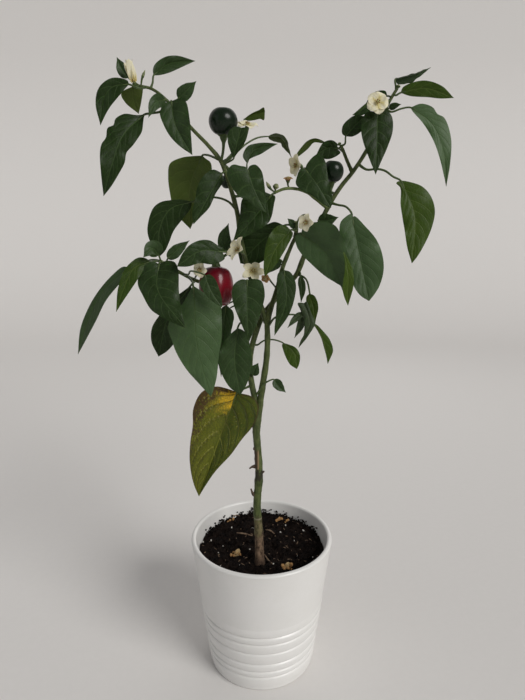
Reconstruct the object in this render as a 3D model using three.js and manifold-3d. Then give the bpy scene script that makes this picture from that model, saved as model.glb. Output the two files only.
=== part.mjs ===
// A potted chilli pepper plant: a tapered pot, its soil, one forked stem, leaves, blooms and fruits.
// Millimetres, +Z up. The origin is the middle of the pot's flat underside.
import * as THREE from "three";
import { mergeVertices } from "three/addons/utils/BufferGeometryUtils.js";
import Module from "manifold-3d";

const wasm = await Module();
wasm.setup();

// Pot
const POT_HEIGHT = 136;
const RIM_RADIUS = 70;
const FOOT_RADIUS = 53;
const WALL = 4;
const LIP = 2.4;
const LIP_ROUND = 0.7;
const FOOT_EDGE = 1.6;
const LINING = 0.6;
const FLOOR = 6;
const POT_SIDES = 36;
const GROOVE_DEPTH = 1.1;
const GROOVE_HALF = 1.1;
const GROOVES = [16, 23, 32, 45, 56, 64];

// Soil
const SOIL_LEVEL = 118;
const SOIL_RISE = 5;
const SOIL_CRUMB = 1.3;
const SOIL_SECTORS = 26;
const SOIL_RINGS = [0.2, 0.4, 0.6, 0.8, 1];
const HOLE_FLOOR = 75.7;
const HOLE_CLEAR = 0.6;
const HOLE_SIDES = 14;

// Clearances and thicknesses
const GAP = 0.3;
const STALK_CLEAR = 0.35;
const BLADE = 0.7;
const STALK = 0.95;
const THIN_STALK = 0.8;
const TIP_HALF = 0.45;
const LOBE_START = 0.12;
const LOBE_END = 0.35;
const WAVES = 3;
const LARGE_LEAF = 22;
const LARGE_STATIONS = 7;
const LEAF_STATIONS = 4;
const SMALL_STATIONS = 3;
const STEM_SAMPLES = 120;

// Blooms and fruits
const PETALS = 5;
const PETAL_POINTS = 4;
const PETAL_NOTCH = 0.5;
const FRUIT_RINGS = 8;
const FRUIT_SIDES = 12;

// Stem
const TRUNK_X = -2;
const TRUNK_UP = 104;
const TRUNK_Y = -22;
const TRUNK_RADIUS = 4.7;
const DEGREE = Math.PI / 180;

// Places on the plant are written as they look from the eye, across and up on the upright plane
// through the pot's axis. The third number is how far behind that plane the place really is.
const EYE = new THREE.Vector3(0.9, -478, 428);

function seen([across, up, depth]) {
  const reach = (depth - EYE.y) / -EYE.y;
  return new THREE.Vector3(
    EYE.x + (across - EYE.x) * reach,
    depth,
    EYE.z + (up - EYE.z) * reach,
  );
}

// Colours and finishes
function finish(colour, roughness) {
  return new THREE.MeshStandardMaterial({ color: colour, roughness, metalness: 0 });
}

const WHITE_GLAZE = finish(0xd8d6d0, 0.3);
const BLACK_SOIL = finish(0x1a1512, 1);
const GREEN_BARK = finish(0x4c5a2c, 0.6);
const DARK_LEAF = finish(0x243d1c, 0.5);
const PALE_LEAF = finish(0x56703c, 0.55);
const BRIGHT_LEAF = finish(0x3f5c1e, 0.5);
const YELLOW_LEAF = finish(0x8a7d1c, 0.6);
const CREAM_PETAL = finish(0xddd5b4, 0.7);
const BROWN_PETAL = finish(0x9a6a35, 0.9);
const RED_SKIN = finish(0x7a0f1e, 0.2);
const GREEN_SKIN = finish(0x16241a, 0.2);

// Solids and meshes
function solidOf(geometry) {
  const bare = geometry.clone();
  bare.deleteAttribute("normal");
  bare.deleteAttribute("uv");
  const merged = mergeVertices(bare, 1e-3);
  return new wasm.Manifold(
    new wasm.Mesh({
      numProp: 3,
      vertProperties: merged.attributes.position.array,
      triVerts: new Uint32Array(merged.index.array),
    }),
  );
}

function geometryOf(solid) {
  const mesh = solid.getMesh();
  const geometry = new THREE.BufferGeometry();
  geometry.setAttribute("position", new THREE.BufferAttribute(mesh.vertProperties, 3));
  geometry.setIndex(new THREE.BufferAttribute(mesh.triVerts, 1));
  geometry.computeVertexNormals();
  return geometry;
}

function fused(geometries) {
  const solids = geometries.map(solidOf);
  return geometryOf(solids.reduce((whole, next) => whole.add(next)));
}

function closedGeometry(points, triangles) {
  const geometry = new THREE.BufferGeometry();
  const flat = points.flatMap((p) => [p.x, p.y, p.z]);
  geometry.setAttribute("position", new THREE.Float32BufferAttribute(flat, 3));
  geometry.setIndex(triangles);
  return geometry;
}

const plant = new THREE.Group();

// Each node hangs at its own place, with its geometry about that place.
function place(parent, name, geometry, material, at) {
  geometry.translate(-at.x, -at.y, -at.z);
  const mesh = new THREE.Mesh(geometry, material);
  mesh.name = name;
  mesh.position.copy(at);
  parent.add(mesh);
}

// The value a share of the way along a list of evenly spaced values
function between(values, share) {
  const along = share * (values.length - 1);
  const part = Math.min(Math.floor(along), values.length - 2);
  return THREE.MathUtils.lerp(values[part], values[part + 1], along - part);
}

// A round tube that thins or thickens evenly between the radii given along it.
function tube(path, radii, sides, steps) {
  const curve = new THREE.CatmullRomCurve3(path, false, "centripetal");
  const frames = curve.computeFrenetFrames(steps, false);
  const points = [];
  for (let i = 0; i <= steps; i++) {
    const radius = between(radii, i / steps);
    const centre = curve.getPointAt(i / steps);
    for (let j = 0; j < sides; j++) {
      const angle = (2 * Math.PI * j) / sides;
      points.push(
        centre
          .clone()
          .addScaledVector(frames.normals[i], radius * Math.cos(angle))
          .addScaledVector(frames.binormals[i], radius * Math.sin(angle)),
      );
    }
  }
  const triangles = [];
  for (let i = 0; i < steps; i++) {
    for (let j = 0; j < sides; j++) {
      const a = i * sides + j;
      const b = i * sides + ((j + 1) % sides);
      triangles.push(a, b, b + sides, a, b + sides, a + sides);
    }
  }
  const top = steps * sides;
  for (let j = 1; j < sides - 1; j++) {
    triangles.push(0, j + 1, j, top, top + j, top + j + 1);
  }
  return closedGeometry(points, triangles);
}

// A thin sheet over a grid of middle points, given as rows, split alike on both faces.
function sheet(rows, thickness) {
  const across = rows[0].length;
  const normalAt = (i, j) => {
    const ahead = rows[Math.min(i + 1, rows.length - 1)][j];
    const behind = rows[Math.max(i - 1, 0)][j];
    const right = rows[i][Math.min(j + 1, across - 1)];
    const left = rows[i][Math.max(j - 1, 0)];
    const along = ahead.clone().sub(behind);
    return along.cross(right.clone().sub(left)).normalize();
  };
  const upper = [];
  const lower = [];
  rows.forEach((row, i) =>
    row.forEach((point, j) => {
      const half = normalAt(i, j).multiplyScalar(thickness / 2);
      upper.push(point.clone().add(half));
      lower.push(point.clone().sub(half));
    }),
  );
  const under = upper.length;
  const triangles = [];
  for (let i = 0; i < rows.length - 1; i++) {
    for (let j = 0; j < across - 1; j++) {
      const a = i * across + j;
      const b = a + across;
      const rising = [a, b, b + 1, a, b + 1, a + 1];
      const falling = [a, b, a + 1, a + 1, b, b + 1];
      const quad = j < (across - 1) / 2 ? rising : falling;
      triangles.push(...quad);
      for (let k = 0; k < 6; k += 3) {
        triangles.push(quad[k] + under, quad[k + 2] + under, quad[k + 1] + under);
      }
    }
  }
  const rim = [];
  for (let j = 0; j < across - 1; j++) rim.push(j);
  for (let i = 0; i < rows.length - 1; i++) rim.push(i * across + across - 1);
  for (let j = across - 1; j > 0; j--) rim.push((rows.length - 1) * across + j);
  for (let i = rows.length - 1; i > 0; i--) rim.push(i * across);
  rim.forEach((a, k) => {
    const b = rim[(k + 1) % rim.length];
    triangles.push(a, b, b + under, a, b + under, a + under);
  });
  return closedGeometry([...upper, ...lower], triangles);
}

// How wide a leaf is along its rib, from 0 at both ends to 1 at its widest.
function leafOutline(u) {
  const rise = 0.6;
  const fall = 1.08;
  const widest = rise / (rise + fall);
  return (u / widest) ** rise * ((1 - u) / (1 - widest)) ** fall;
}

// Stems, each from its lower end to its upper end
const STEMS = [
  {
    // Trunk, from its foot in the soil to the fork
    path: [[-2, 59, -22], [-2, 82, -22], [-2, 104, -22], [-3, 140, -22], [-4.5, 166, -21.5],
      [-2.5, 200, -21], [-3.5, 222, -20], [-5, 245, -19], [-4, 262, -18]],
    radii: [4.7, 4.7, 4.7, 4.1, 3.9, 3.7, 3.6, 3.4, 3.4, 3.5],
    sides: 9,
    steps: 11,
  },
  {
    // Right arm
    path: [[-4, 258, -18], [-2, 270, -18], [1, 290, -17], [4, 310, -15], [5.5, 330, -13], [5, 353, -11]],
    radii: [3.2, 2.9, 2.6, 2.5],
    sides: 7,
    steps: 6,
  },
  {
    // Left arm, which crosses behind the right arm and climbs to the right tip
    path: [[-4, 256, -18], [-6, 275, -17], [-9, 290, -15], [-11, 305, -12], [-10, 322, -8], [-5, 341, -4],
      [1, 356, 0], [12, 371, 2], [22, 384, 2], [31, 393, 0], [38, 410, -1], [47, 431, -2], [55, 446, -2],
      [62, 459, -2], [70, 471, 0], [79, 482, 2], [90, 499, 5], [100, 519, 8], [107, 537, 10],
      [114, 549, 10]],
    radii: [3, 2.8, 2.7, 2.5, 2.3, 2.2, 2.1, 1.9, 1.7, 1.5, 1.3],
    sides: 6,
    steps: 24,
  },
  {
    // Middle stem
    path: [[5, 350, -11], [8, 362, -11], [14, 380, -12], [19, 400, -13], [26, 418, -14], [31, 430, -15],
      [31, 440, -14]],
    radii: [2.5, 2.1, 1.8, 1.2],
    sides: 6,
    steps: 7,
  },
  {
    // Left stem, which climbs to the left tip
    path: [[5, 350, -11], [0, 364, -8], [-8, 385, -4], [-14, 405, -2], [-19, 428, -2], [-21, 446, -4],
      [-26, 466, -7], [-31, 481, -9], [-35, 491, -10], [-45, 503, -12], [-60, 518, -14], [-75, 535, -16],
      [-91, 548, -18], [-103, 551, -19]],
    radii: [2.5, 2.3, 2.2, 2.1, 2, 1.8, 1.5, 1.3, 1.1],
    sides: 6,
    steps: 17,
  },
  {
    // Low left branch
    path: [[-5, 378, -5], [-14, 381, 3], [-26, 382, 11], [-44, 385, 13], [-58, 388, 8], [-74, 396, 1],
      [-91, 406, -4]],
    radii: [1.9, 1.8, 1.6, 1.5],
    sides: 5,
    steps: 9,
  },
  {
    // Thin branch with the upper buds
    path: [[58, 452, -2], [47, 460, -6], [40, 465, -8], [30, 468, -9], [20, 468, -10], [12, 465, -10]],
    radii: [1.5, 1.3, 1.2],
    sides: 5,
    steps: 5,
  },
  {
    // Short side shoot under the right tip
    path: [[79, 481, 2], [74, 491, 3], [70, 500, 4], [68, 504, 4]],
    radii: [1.5, 1.4, 1.2],
    sides: 5,
    steps: 4,
  },
];

// Dead stubs and leaf scars on the trunk
const STUBS = [
  [[-5, 208, -20], [-9, 207, -21], [-12.5, 205.5, -22]],
  [[-6, 178, -21], [-9, 181, -22], [-10.5, 185, -23]],
  [[-1, 201, -20], [2, 202, -20], [4, 203, -20]],
  [[-6, 223, -20], [-8, 224, -21], [-9, 222, -21]],
];

// Flower buds at the ends of short stalks
const BUDS = [
  { path: [[114, 548, 10], [115, 552, 10]], radius: 2.2 },
  { path: [[12, 465, -10], [12.5, 470, -11], [15, 469, -12]], radius: 2.6 },
  { path: [[12, 465, -10], [8, 468, -11], [4, 474, -12]], radius: 1.6 },
  { path: [[31, 438, -14], [30, 441, -14]], radius: 1.8 },
  { path: [[68, 503, 4], [66, 506, 6]], radius: 1.8 },
  { path: [[-101, 551, -19], [-100, 556, -20], [-97, 563, -20]], radius: 1.2 },
];

// Small leaves, fused to the stem. Each rib runs from the base of the blade to its tip.
const SMALL_LEAVES = [
  {
    from: [-103, 551, -19],
    rib: [[-111, 557, -16], [-116, 564, -16], [-120, 573, -17]],
    width: 10,
    fold: 25,
  },
  { from: [-75, 535, -16], rib: [[-70, 541, -20], [-63, 547, -22], [-54.5, 554.5, -23]], width: 11 },
  { from: [-77, 537, -16], rib: [[-81, 540, -20], [-89, 538, -28], [-96, 526, -33]], width: 10 },
  {
    from: [-34, 490, -10],
    stalk: [[-24, 496, -2], [-13, 505, 6], [-3, 510, 12]],
    rib: [[6, 511, 16], [17, 509.5, 18], [26, 494, 18]],
    width: 8,
    turn: 60,
  },
  {
    from: [-33, 489, -10],
    stalk: [[-20, 503, -2], [-13, 512, 3], [-12, 520, 8]],
    rib: [[-13, 527, 9], [-6, 528, 7], [1, 529, 3]],
    width: 11,
    fold: 35,
  },
  { from: [-90, 405, -4], rib: [[-92, 411, -9], [-97, 417, -15], [-106, 409, -22]], width: 14 },
  { from: [-86, 403, -3], rib: [[-84, 408, -4], [-76, 415, -2], [-64, 424, 2]], width: 10 },
  {
    from: [-18, 420, -2],
    stalk: [[-26, 410, 2]],
    rib: [[-31, 413, 4], [-33, 426, 2], [-29, 439, -2]],
    width: 12,
  },
  { from: [20, 403, -13], rib: [[17, 407, -12], [11, 401, -9], [6, 395, -7]], width: 8 },
  {
    from: [-4, 376, -6],
    stalk: [[-18, 372, -2]],
    rib: [[-32, 366, 0], [-37, 330, -4], [-38, 298, -6]],
    width: 15,
  },
  {
    from: [-4, 374, -6],
    stalk: [[-18, 368, 0]],
    rib: [[-29, 363, 6], [-31, 350, 8], [-31, 333, 8]],
    width: 10,
  },
  {
    from: [54, 444, -2],
    rib: [[50, 441, -9], [58, 441.5, -11], [68, 444, -14]],
    width: 12,
    fold: 20,
  },
  {
    from: [70, 499, 4],
    stalk: [[65, 502, 13], [54, 507, 21]],
    rib: [[45, 509, 23], [37, 505, 23], [28, 493, 22]],
    width: 8,
    turn: 60,
  },
  {
    from: [113, 549, 10],
    rib: [[112, 556, 13], [126, 559, 17], [141, 565, 20]],
    width: 12,
    turn: 55,
    fold: 25,
  },
  { from: [106, 533, 10], rib: [[108, 533.5, 4], [113, 535.5, 0], [118, 536.5, -4]], width: 5 },
  {
    from: [34, 396, 0],
    stalk: [[35, 395, -3]],
    rib: [[35, 392, -4], [37, 381, -6], [36, 368, -6]],
    width: 6,
  },
  {
    from: [-6, 279, -17],
    stalk: [[2, 291, -22], [8, 295, -22]],
    rib: [[12, 296, -22], [16, 290, -23], [23, 283, -24]],
    width: 9,
    fold: 25,
  },
  { from: [-10, 297, -13], rib: [[-8.5, 300, -17], [-6, 306, -19], [-3, 312, -20]], width: 9 },
  { from: [29, 427, -14], rib: [[30, 435, -13], [27, 439, -12], [23, 443, -11]], width: 6 },
];

// Leaves with nodes of their own
const LEAVES = [
  {
    name: "leaf_left_tip_outer",
    from: [-96, 550, -19],
    stalk: [[-103, 549, -26]],
    rib: [[-111, 552, -27], [-125, 550, -29], [-133, 540, -28], [-137, 520, -30]],
    width: 20,
    fold: 15,
  },
  {
    name: "leaf_left_tip_under",
    pale: true,
    rib: [[-107, 551, -12], [-108, 541, -8], [-104, 529, -4]],
    width: 17,
  },
  {
    name: "leaf_left_tip_upper",
    clear: -0.4,
    stalk: [[-91.2, 553, -17.6]],
    rib: [[-90, 559, -14], [-77, 568, -6], [-55, 570, 2]],
    width: 13,
    fold: 20,
  },
  {
    name: "leaf_left_high_wavy",
    stalk: [[-85, 531, -17], [-93, 529.5, -19]],
    rib: [[-99, 528.5, -22], [-118, 512, -34], [-129, 488, -38], [-138, 462, -40]],
    width: 33,
    wave: 1.2,
  },
  {
    name: "leaf_left_high_front",
    rib: [[-76, 539, -23], [-73, 520, -29], [-59.5, 496, -34]],
    width: 25,
    fold: 22,
  },
  {
    name: "leaf_by_dark_fruit",
    clear: 0.75,
    rib: [[-24, 493, -17], [-21, 505, -21], [-17, 518, -22]],
    width: 17,
  },
  {
    name: "leaf_upper_middle",
    stalk: [[-20, 480, 2], [-13, 484, 6]],
    rib: [[-12.5, 489, 8], [-6, 500, 12], [14, 505, 16]],
    width: 11,
  },
  {
    name: "leaf_heart_upper",
    stalk: [[-17, 463, -12], [-14, 477, -20]],
    rib: [[-12, 484, -24], [-6, 467, -28], [4, 448, -28]],
    width: 34,
    notch: 5,
  },
  {
    name: "leaf_dark_middle",
    clear: -0.05,
    rib: [[9, 463, -11], [-6, 444, -14], [-25, 424, -16]],
    width: 36,
    turn: 10,
  },
  {
    name: "leaf_left_pale",
    pale: true,
    from: [-36, 491.5, -10],
    stalk: [[-42, 494.5, -3], [-47, 496, 6]],
    rib: [[-51, 495.5, 12], [-62, 470, 18], [-63, 434, 22]],
    width: 38,
  },
  {
    name: "leaf_left_inner",
    rib: [[-34, 481, -14], [-44, 465, -19], [-60, 438, -23]],
    width: 21,
  },
  {
    name: "leaf_left_round",
    from: [-22, 451, -5],
    stalk: [[-28, 456.5, -4], [-34, 459.5, -4], [-43, 461, -4], [-52, 460, -5]],
    rib: [[-61, 457, -6], [-80, 451, -7], [-90, 434, -7], [-91, 410, -6]],
    width: 27,
  },
  {
    name: "leaf_left_bright",
    clear: -0.1,
    bright: true,
    rib: [[-100, 405, -10], [-114, 400, -16], [-124, 383, -20], [-133, 360, -24]],
    width: 17,
    fold: 18,
  },
  {
    name: "leaf_left_long",
    stalk: [[-98, 407, 3], [-109, 404, 10]],
    rib: [[-119, 400, 13], [-143, 380, 17], [-158, 355, 19], [-171, 320, 20]],
    width: 12,
    turn: 45,
    fold: 20,
  },
  {
    name: "leaf_left_broad",
    rib: [[-92, 403, -12], [-94, 380, -26], [-70, 345, -41]],
    width: 38,
    notch: 3,
  },
  {
    name: "leaf_left_behind",
    rib: [[-64, 384, 14], [-86, 354, 22], [-96, 318, 26]],
    width: 24,
  },
  {
    name: "leaf_largest",
    stalk: [[-63, 388, -10]],
    rib: [[-62, 384, -24], [-61, 366, -29], [-60, 330, -33], [-48, 279, -34]],
    width: 50,
    fold: -6,
  },
  {
    name: "leaf_over_red_fruit",
    clear: 0.6,
    stalk: [[-26, 415, -10]],
    rib: [[-35, 414, -18], [-54, 415, -26], [-76, 401, -30]],
    width: 24,
  },
  {
    name: "leaf_shaded_middle",
    clear: 0.65,
    from: [30, 429, -15],
    stalk: [[30, 431, -7], [26, 437, 0]],
    rib: [[20, 437, 5], [2, 425, 12], [-19, 404, 15]],
    width: 26,
  },
  {
    name: "leaf_middle_bright",
    bright: true,
    rib: [[26, 433, -21], [13, 417, -25], [3, 392, -28]],
    width: 19,
  },
  {
    name: "leaf_centre",
    stalk: [[-8, 382, -14], [-12, 387, -23]],
    rib: [[-13, 389, -26], [-13, 362, -32], [-12, 331, -35]],
    width: 29,
  },
  {
    name: "leaf_low_centre",
    clear: 0,
    stalk: [[-12, 350, -12], [-19, 350, -18]],
    rib: [[-22, 345, -21], [-25, 314, -24], [-20, 281, -25]],
    width: 28,
  },
  {
    name: "leaf_before_red_fruit",
    stalk: [[-66, 394, -8], [-63, 397, -26]],
    rib: [[-51, 393, -37], [-45, 378, -39], [-36, 364, -40]],
    width: 16,
  },
  {
    name: "leaf_right_low",
    stalk: [[67, 454.5, -6], [74, 453, -10], [79, 448, -13]],
    rib: [[80, 444, -15], [88, 410, -22], [98, 370, -30]],
    width: 38,
  },
  {
    name: "leaf_right_front",
    clear: -0.3,
    from: [31, 429, -15],
    stalk: [[33.6, 430, -18.6]],
    rib: [[35, 430, -21], [58, 412, -30], [79, 367, -36]],
    width: 36,
    turn: 8,
  },
  {
    name: "leaf_heart_right",
    stalk: [[56, 468, 6], [45, 479, 4], [38, 485, -4]],
    rib: [[38, 484, -12], [49, 471, -17], [61, 452, -18]],
    width: 30,
    notch: 4,
  },
  {
    name: "leaf_right_shoot",
    rib: [[65, 501, 5], [58, 502, 8], [47, 496, 8]],
    width: 18,
  },
  {
    name: "leaf_right_tip_upper",
    bright: true,
    stalk: [[113, 543.5, 8]],
    rib: [[117, 545.5, 7], [138, 549, 2], [162, 541.5, -4]],
    width: 14,
  },
  {
    name: "leaf_right_tip_long",
    clear: 0.75,
    stalk: [[110, 530.5, 7], [118, 533, 6]],
    rib: [[126, 534, 5], [145, 521, 2], [157, 497, -1], [161, 470, -4]],
    width: 20,
    wave: 1,
    turn: -10,
  },
  {
    name: "leaf_right_tip_front",
    stalk: [[101, 531, 2]],
    rib: [[98, 530, -6], [99, 508, -15], [99, 480, -19]],
    width: 30,
    notch: 3,
  },
  {
    name: "leaf_right_stub",
    stalk: [[71.5, 505, 3]],
    rib: [[72, 511, 3], [79, 519, 1], [88, 527, 0]],
    width: 14,
  },
  {
    name: "leaf_right_tip_behind",
    rib: [[106, 543, 15], [93, 540, 19], [77, 528, 22]],
    width: 13,
  },
  {
    name: "leaf_right_outer",
    bright: true,
    stalk: [[90, 484, 0], [101, 484.5, -5], [112, 481, -8]],
    rib: [[121, 475, -10], [135, 446, -18], [135, 404, -26]],
    width: 31,
  },
  {
    name: "leaf_inner_right",
    rib: [[20, 398, -17], [23, 372, -21], [12, 338, -23]],
    width: 19,
  },
  {
    name: "leaf_right_drooping",
    clear: -0.25,
    stalk: [[40, 390, -4], [44, 376, -5], [46, 361, -6]],
    rib: [[47, 350, -7], [57, 334, -9], [62, 311, -12]],
    width: 13,
    second: { rib: [[43, 377, -5], [46, 366, -11], [48, 350, -14]], width: 7 },
  },
  {
    name: "leaf_low_right",
    stalk: [[-4, 329, -4], [2, 333, -2], [11, 334, -3]],
    rib: [[20, 331, -6], [31, 321, -9], [33, 306, -12]],
    width: 15,
  },
  {
    name: "leaf_yellow",
    yellow: true,
    stalk: [[-14, 288, -16]],
    rib: [[-23, 283, -18], [-34, 255, -22], [-50, 210, -24], [-62, 176, -24]],
    width: 54,
    notch: 7,
    turn: 8,
  },
];

// The wilted tuft: small blades on one thin stalk
const WILTED_STALK = [[5.5, 345, -12], [13, 355, -16], [27, 357.5, -15], [38, 356, -15]];
const WILTED_NECK = [[35, 366, -15], [37, 361, -15], [38, 356, -15]];
const WILTED_BLADES = [
  { rib: [[35, 366, -15], [44, 353, -17], [35, 326, -18]], width: 14, fold: 30 },
  { rib: [[37, 357, -15], [31, 350, -17], [23, 345, -19]], width: 6 },
  { rib: [[38, 357, -14], [36, 347, -13], [30, 336, -12]], width: 6 },
];

// Blooms, with the way they face and how far their petals close over the middle
const BLOOMS = [
  {
    name: "bloom_left_tip",
    at: [-106.5, 553, -24],
    face: [-0.24, -0.12, 1],
    radius: 17,
    close: 72,
    stalk: [[-103, 551, -20]],
  },
  {
    name: "bloom_upper_left",
    at: [-12, 520, 0],
    face: [0.1, -0.5, 1],
    radius: 9,
    close: 35,
    stalk: [[-32, 488, -10], [-20, 500, -4], [-14, 510, -1]],
  },
  {
    name: "bloom_upper_centre",
    at: [29.5, 493, 2],
    face: [-0.2, -0.4, -1],
    radius: 16,
    close: 68,
    stalk: [[34, 467, -9], [37, 480, 2], [34, 492, 6]],
  },
  {
    name: "bloom_left_centre",
    at: [-22, 415, -19],
    face: [-0.75, -0.9, -0.25],
    radius: 11.5,
    close: 46,
    stalk: [[-14, 405, -2], [-15, 411, -9]],
  },
  {
    name: "bloom_front",
    at: [-7.5, 396.5, -13],
    face: [-0.1, -1, 0.1],
    radius: 9.5,
    close: 12,
    stalk: [[-10, 392, -4]],
  },
  {
    name: "bloom_small_left",
    at: [-55, 398, -17],
    face: [-0.4, -1, 0],
    radius: 5,
    close: 40,
    stalk: [[-61, 389, 7], [-58, 394, -4]],
  },
  {
    name: "bloom_right_centre",
    at: [41, 442, -30],
    face: [-0.35, -0.9, 0.1],
    radius: 8.5,
    close: 40,
    stalk: [[31, 431, -14], [33, 443, -16], [39, 446, -21]],
  },
  {
    name: "bloom_right_tip",
    at: [98, 538, -14],
    face: [0, -1, 0.2],
    radius: 9.5,
    close: 12,
    stalk: [[108, 539, 10], [104, 540, 0]],
  },
  {
    name: "withered_bloom_upper",
    withered: true,
    at: [23, 475, -8.5],
    face: [0, -0.4, 1],
    radius: 4.5,
    close: 60,
    stalk: [[24, 468.5, -9.5]],
  },
  {
    name: "withered_bloom_middle",
    withered: true,
    at: [4, 391, -15],
    face: [-0.3, -1, -0.4],
    radius: 4.5,
    close: 55,
    stalk: [[14, 381, -12], [9, 387, -11]],
  },
];

// Fruits hang or stand on thick stalks. hang points from the stalk to the far end of the fruit.
const FRUITS = [
  {
    name: "fruit_dark_left",
    at: [-32.5, 523, -12],
    hang: [0, -0.1, 1],
    width: 24,
    length: 23,
    stalk: [[-35, 490, -10], [-33, 499, -11]],
  },
  {
    name: "fruit_dark_hidden",
    at: [-29, 474, 6],
    hang: [0, 0.1, -1],
    width: 13,
    length: 13,
    stalk: [[-35, 491, -10], [-32, 488, 0]],
  },
  {
    name: "fruit_dark_right",
    at: [61.8, 482.5, -3.5],
    hang: [0.08, -0.1, 1],
    width: 18.5,
    length: 19,
    stalk: [[59, 453, -2], [60, 463, -3.5]],
  },
  {
    name: "fruit_red",
    red: true,
    at: [-41, 383, -7],
    hang: [0, -0.15, -1],
    width: 30,
    length: 35,
    stalk: [[-17, 420, -2], [-29, 413, -4]],
  },
];

// Dried blooms that lie on the soil
const FALLEN_FACE = new THREE.Vector3(0.3, -0.3, 1);
const FALLEN_LIFT = 1.6;
const FALLEN_CLOSE = 30;
const FALLEN = [
  { name: "fallen_bloom_left", x: -25.5, y: -9, radius: 6 },
  { name: "fallen_bloom_right", x: 23.5, y: -28, radius: 5 },
];

// The blade of a leaf as rows of points from its base to its tip. Its face looks at the eye and
// then turns about the rib by turn degrees. fold lifts both halves, wave ruffles the margins, and
// notch pulls two lobes back beside the stalk.
function bladeRows(leaf, stations) {
  const { rib, width, turn = 0, fold = 12, wave = 0, notch = 0 } = leaf;
  const curve = new THREE.CatmullRomCurve3(rib.map(seen));
  const start = notch ? LOBE_START : 0;
  const rows = [];
  for (let i = 0; i <= stations; i++) {
    const u = i / stations;
    const middle = curve.getPointAt(u);
    const along = curve.getTangentAt(u);
    const toEye = EYE.clone().sub(middle);
    const side = along.clone().cross(toEye).normalize().applyAxisAngle(along, turn * DEGREE);
    const face = side.clone().cross(along);
    const half = (width / 2) * leafOutline(start + (1 - start) * u) + TIP_HALF;
    const row = [];
    for (const v of [-1, 0, 1]) {
      const out = Math.abs(v);
      const lobe = notch * out ** 1.5 * Math.max(0, 1 - u / LOBE_END) ** 2;
      const ruffle = wave * out * Math.sin(WAVES * Math.PI * u + (v > 0 ? 1.3 : 0));
      const point = middle.clone();
      point.addScaledVector(side, v * half * Math.cos(fold * DEGREE));
      point.addScaledVector(face, out * half * Math.sin(fold * DEGREE) + ruffle);
      point.addScaledVector(along, -lobe);
      row.push(point);
    }
    rows.push(row);
  }
  return rows;
}

// A leaf is its stalk, sunk into the base of its blade, and the blade.
function leafParts(leaf, from) {
  const large = leaf.width > LARGE_LEAF;
  const ordinary = leaf.name ? LEAF_STATIONS : SMALL_STATIONS;
  const rows = bladeRows(leaf, large ? LARGE_STATIONS : ordinary);
  const rib = new THREE.CatmullRomCurve3(leaf.rib.map(seen));
  const stalk = [from, ...(leaf.stalk ?? []).map(seen), rib.getPointAt(0), rib.getPointAt(0.1)];
  const thick = large ? STALK : THIN_STALK;
  return [sheet(rows, BLADE), tube(stalk, [thick, thick, thick * 0.7], 4, leaf.stalk ? 4 : 2)];
}

// Stems
const stemCurves = STEMS.map(({ path, radii, sides, steps }) => ({
  curve: new THREE.CatmullRomCurve3(path.map(seen), false, "centripetal"),
  radii,
  sides,
  steps,
}));

// The point on the middle line of the stems nearest to a place, and how thick the stem is there.
function nearestStem(place) {
  let best = { distance: Infinity };
  for (const { curve, radii } of stemCurves) {
    for (let i = 0; i <= STEM_SAMPLES; i++) {
      const point = curve.getPointAt(i / STEM_SAMPLES);
      const distance = point.distanceTo(place);
      if (distance < best.distance) {
        const radius = between(radii, i / STEM_SAMPLES);
        best = { distance, point, radius, along: curve.getTangentAt(i / STEM_SAMPLES) };
      }
    }
  }
  return best;
}

// A stalk starts just clear of the side of the stem that it grows from.
function stalkStart(from, toward, clear = STALK_CLEAR) {
  const stem = nearestStem(from);
  const way = toward.clone().sub(stem.point).normalize();
  const out = way.clone().addScaledVector(stem.along, -way.dot(stem.along)).normalize();
  const lean = Math.sqrt(Math.max(0, 1 - way.dot(out) ** 2));
  return stem.point.clone().addScaledVector(out, stem.radius + STALK * lean + clear);
}

// A calyx ends just short of what it carries.
function calyxTube(path, end, axis, thin, wide) {
  const neck = end.clone().addScaledVector(axis, -3);
  return tube([...path, neck, end], [thin, thin, thin, wide], 5, path.length + 2);
}

// Pot
function ringProfile() {
  const slope = (RIM_RADIUS - FOOT_RADIUS) / POT_HEIGHT;
  const outside = (z) => FOOT_RADIUS + slope * z;
  const profile = [[0, 0], [FOOT_RADIUS - FOOT_EDGE, 0], [outside(FOOT_EDGE), FOOT_EDGE]];
  for (const z of GROOVES) {
    profile.push([outside(z - GROOVE_HALF), z - GROOVE_HALF]);
    profile.push([outside(z) - GROOVE_DEPTH, z]);
    profile.push([outside(z + GROOVE_HALF), z + GROOVE_HALF]);
  }
  profile.push([outside(POT_HEIGHT - LIP), POT_HEIGHT - LIP]);
  profile.push([RIM_RADIUS - LIP_ROUND, POT_HEIGHT - LIP_ROUND]);
  profile.push([RIM_RADIUS - LIP, POT_HEIGHT]);
  profile.push([RIM_RADIUS - WALL + LINING, POT_HEIGHT - LIP_ROUND]);
  profile.push([innerRadius(POT_HEIGHT - LIP), POT_HEIGHT - LIP]);
  profile.push([innerRadius(FLOOR), FLOOR], [0, FLOOR]);
  return profile.map(([r, z]) => new THREE.Vector2(r, z));
}

function innerRadius(z) {
  return FOOT_RADIUS - WALL - LINING + ((RIM_RADIUS - FOOT_RADIUS) / POT_HEIGHT) * z;
}

function addPot() {
  const geometry = new THREE.LatheGeometry(ringProfile(), POT_SIDES);
  geometry.rotateX(Math.PI / 2);
  place(plant, "pot", geometryOf(solidOf(geometry)), WHITE_GLAZE, new THREE.Vector3(0, 0, 0));
}

// Soil
function soilHeight(x, y) {
  const lumps = Math.sin(0.31 * x + 1.7) * Math.sin(0.37 * y + 0.4);
  const crumbs = 0.6 * Math.sin(0.83 * x - 0.61 * y);
  return SOIL_LEVEL + (SOIL_RISE * y) / RIM_RADIUS + SOIL_CRUMB * (lumps + crumbs);
}

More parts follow.
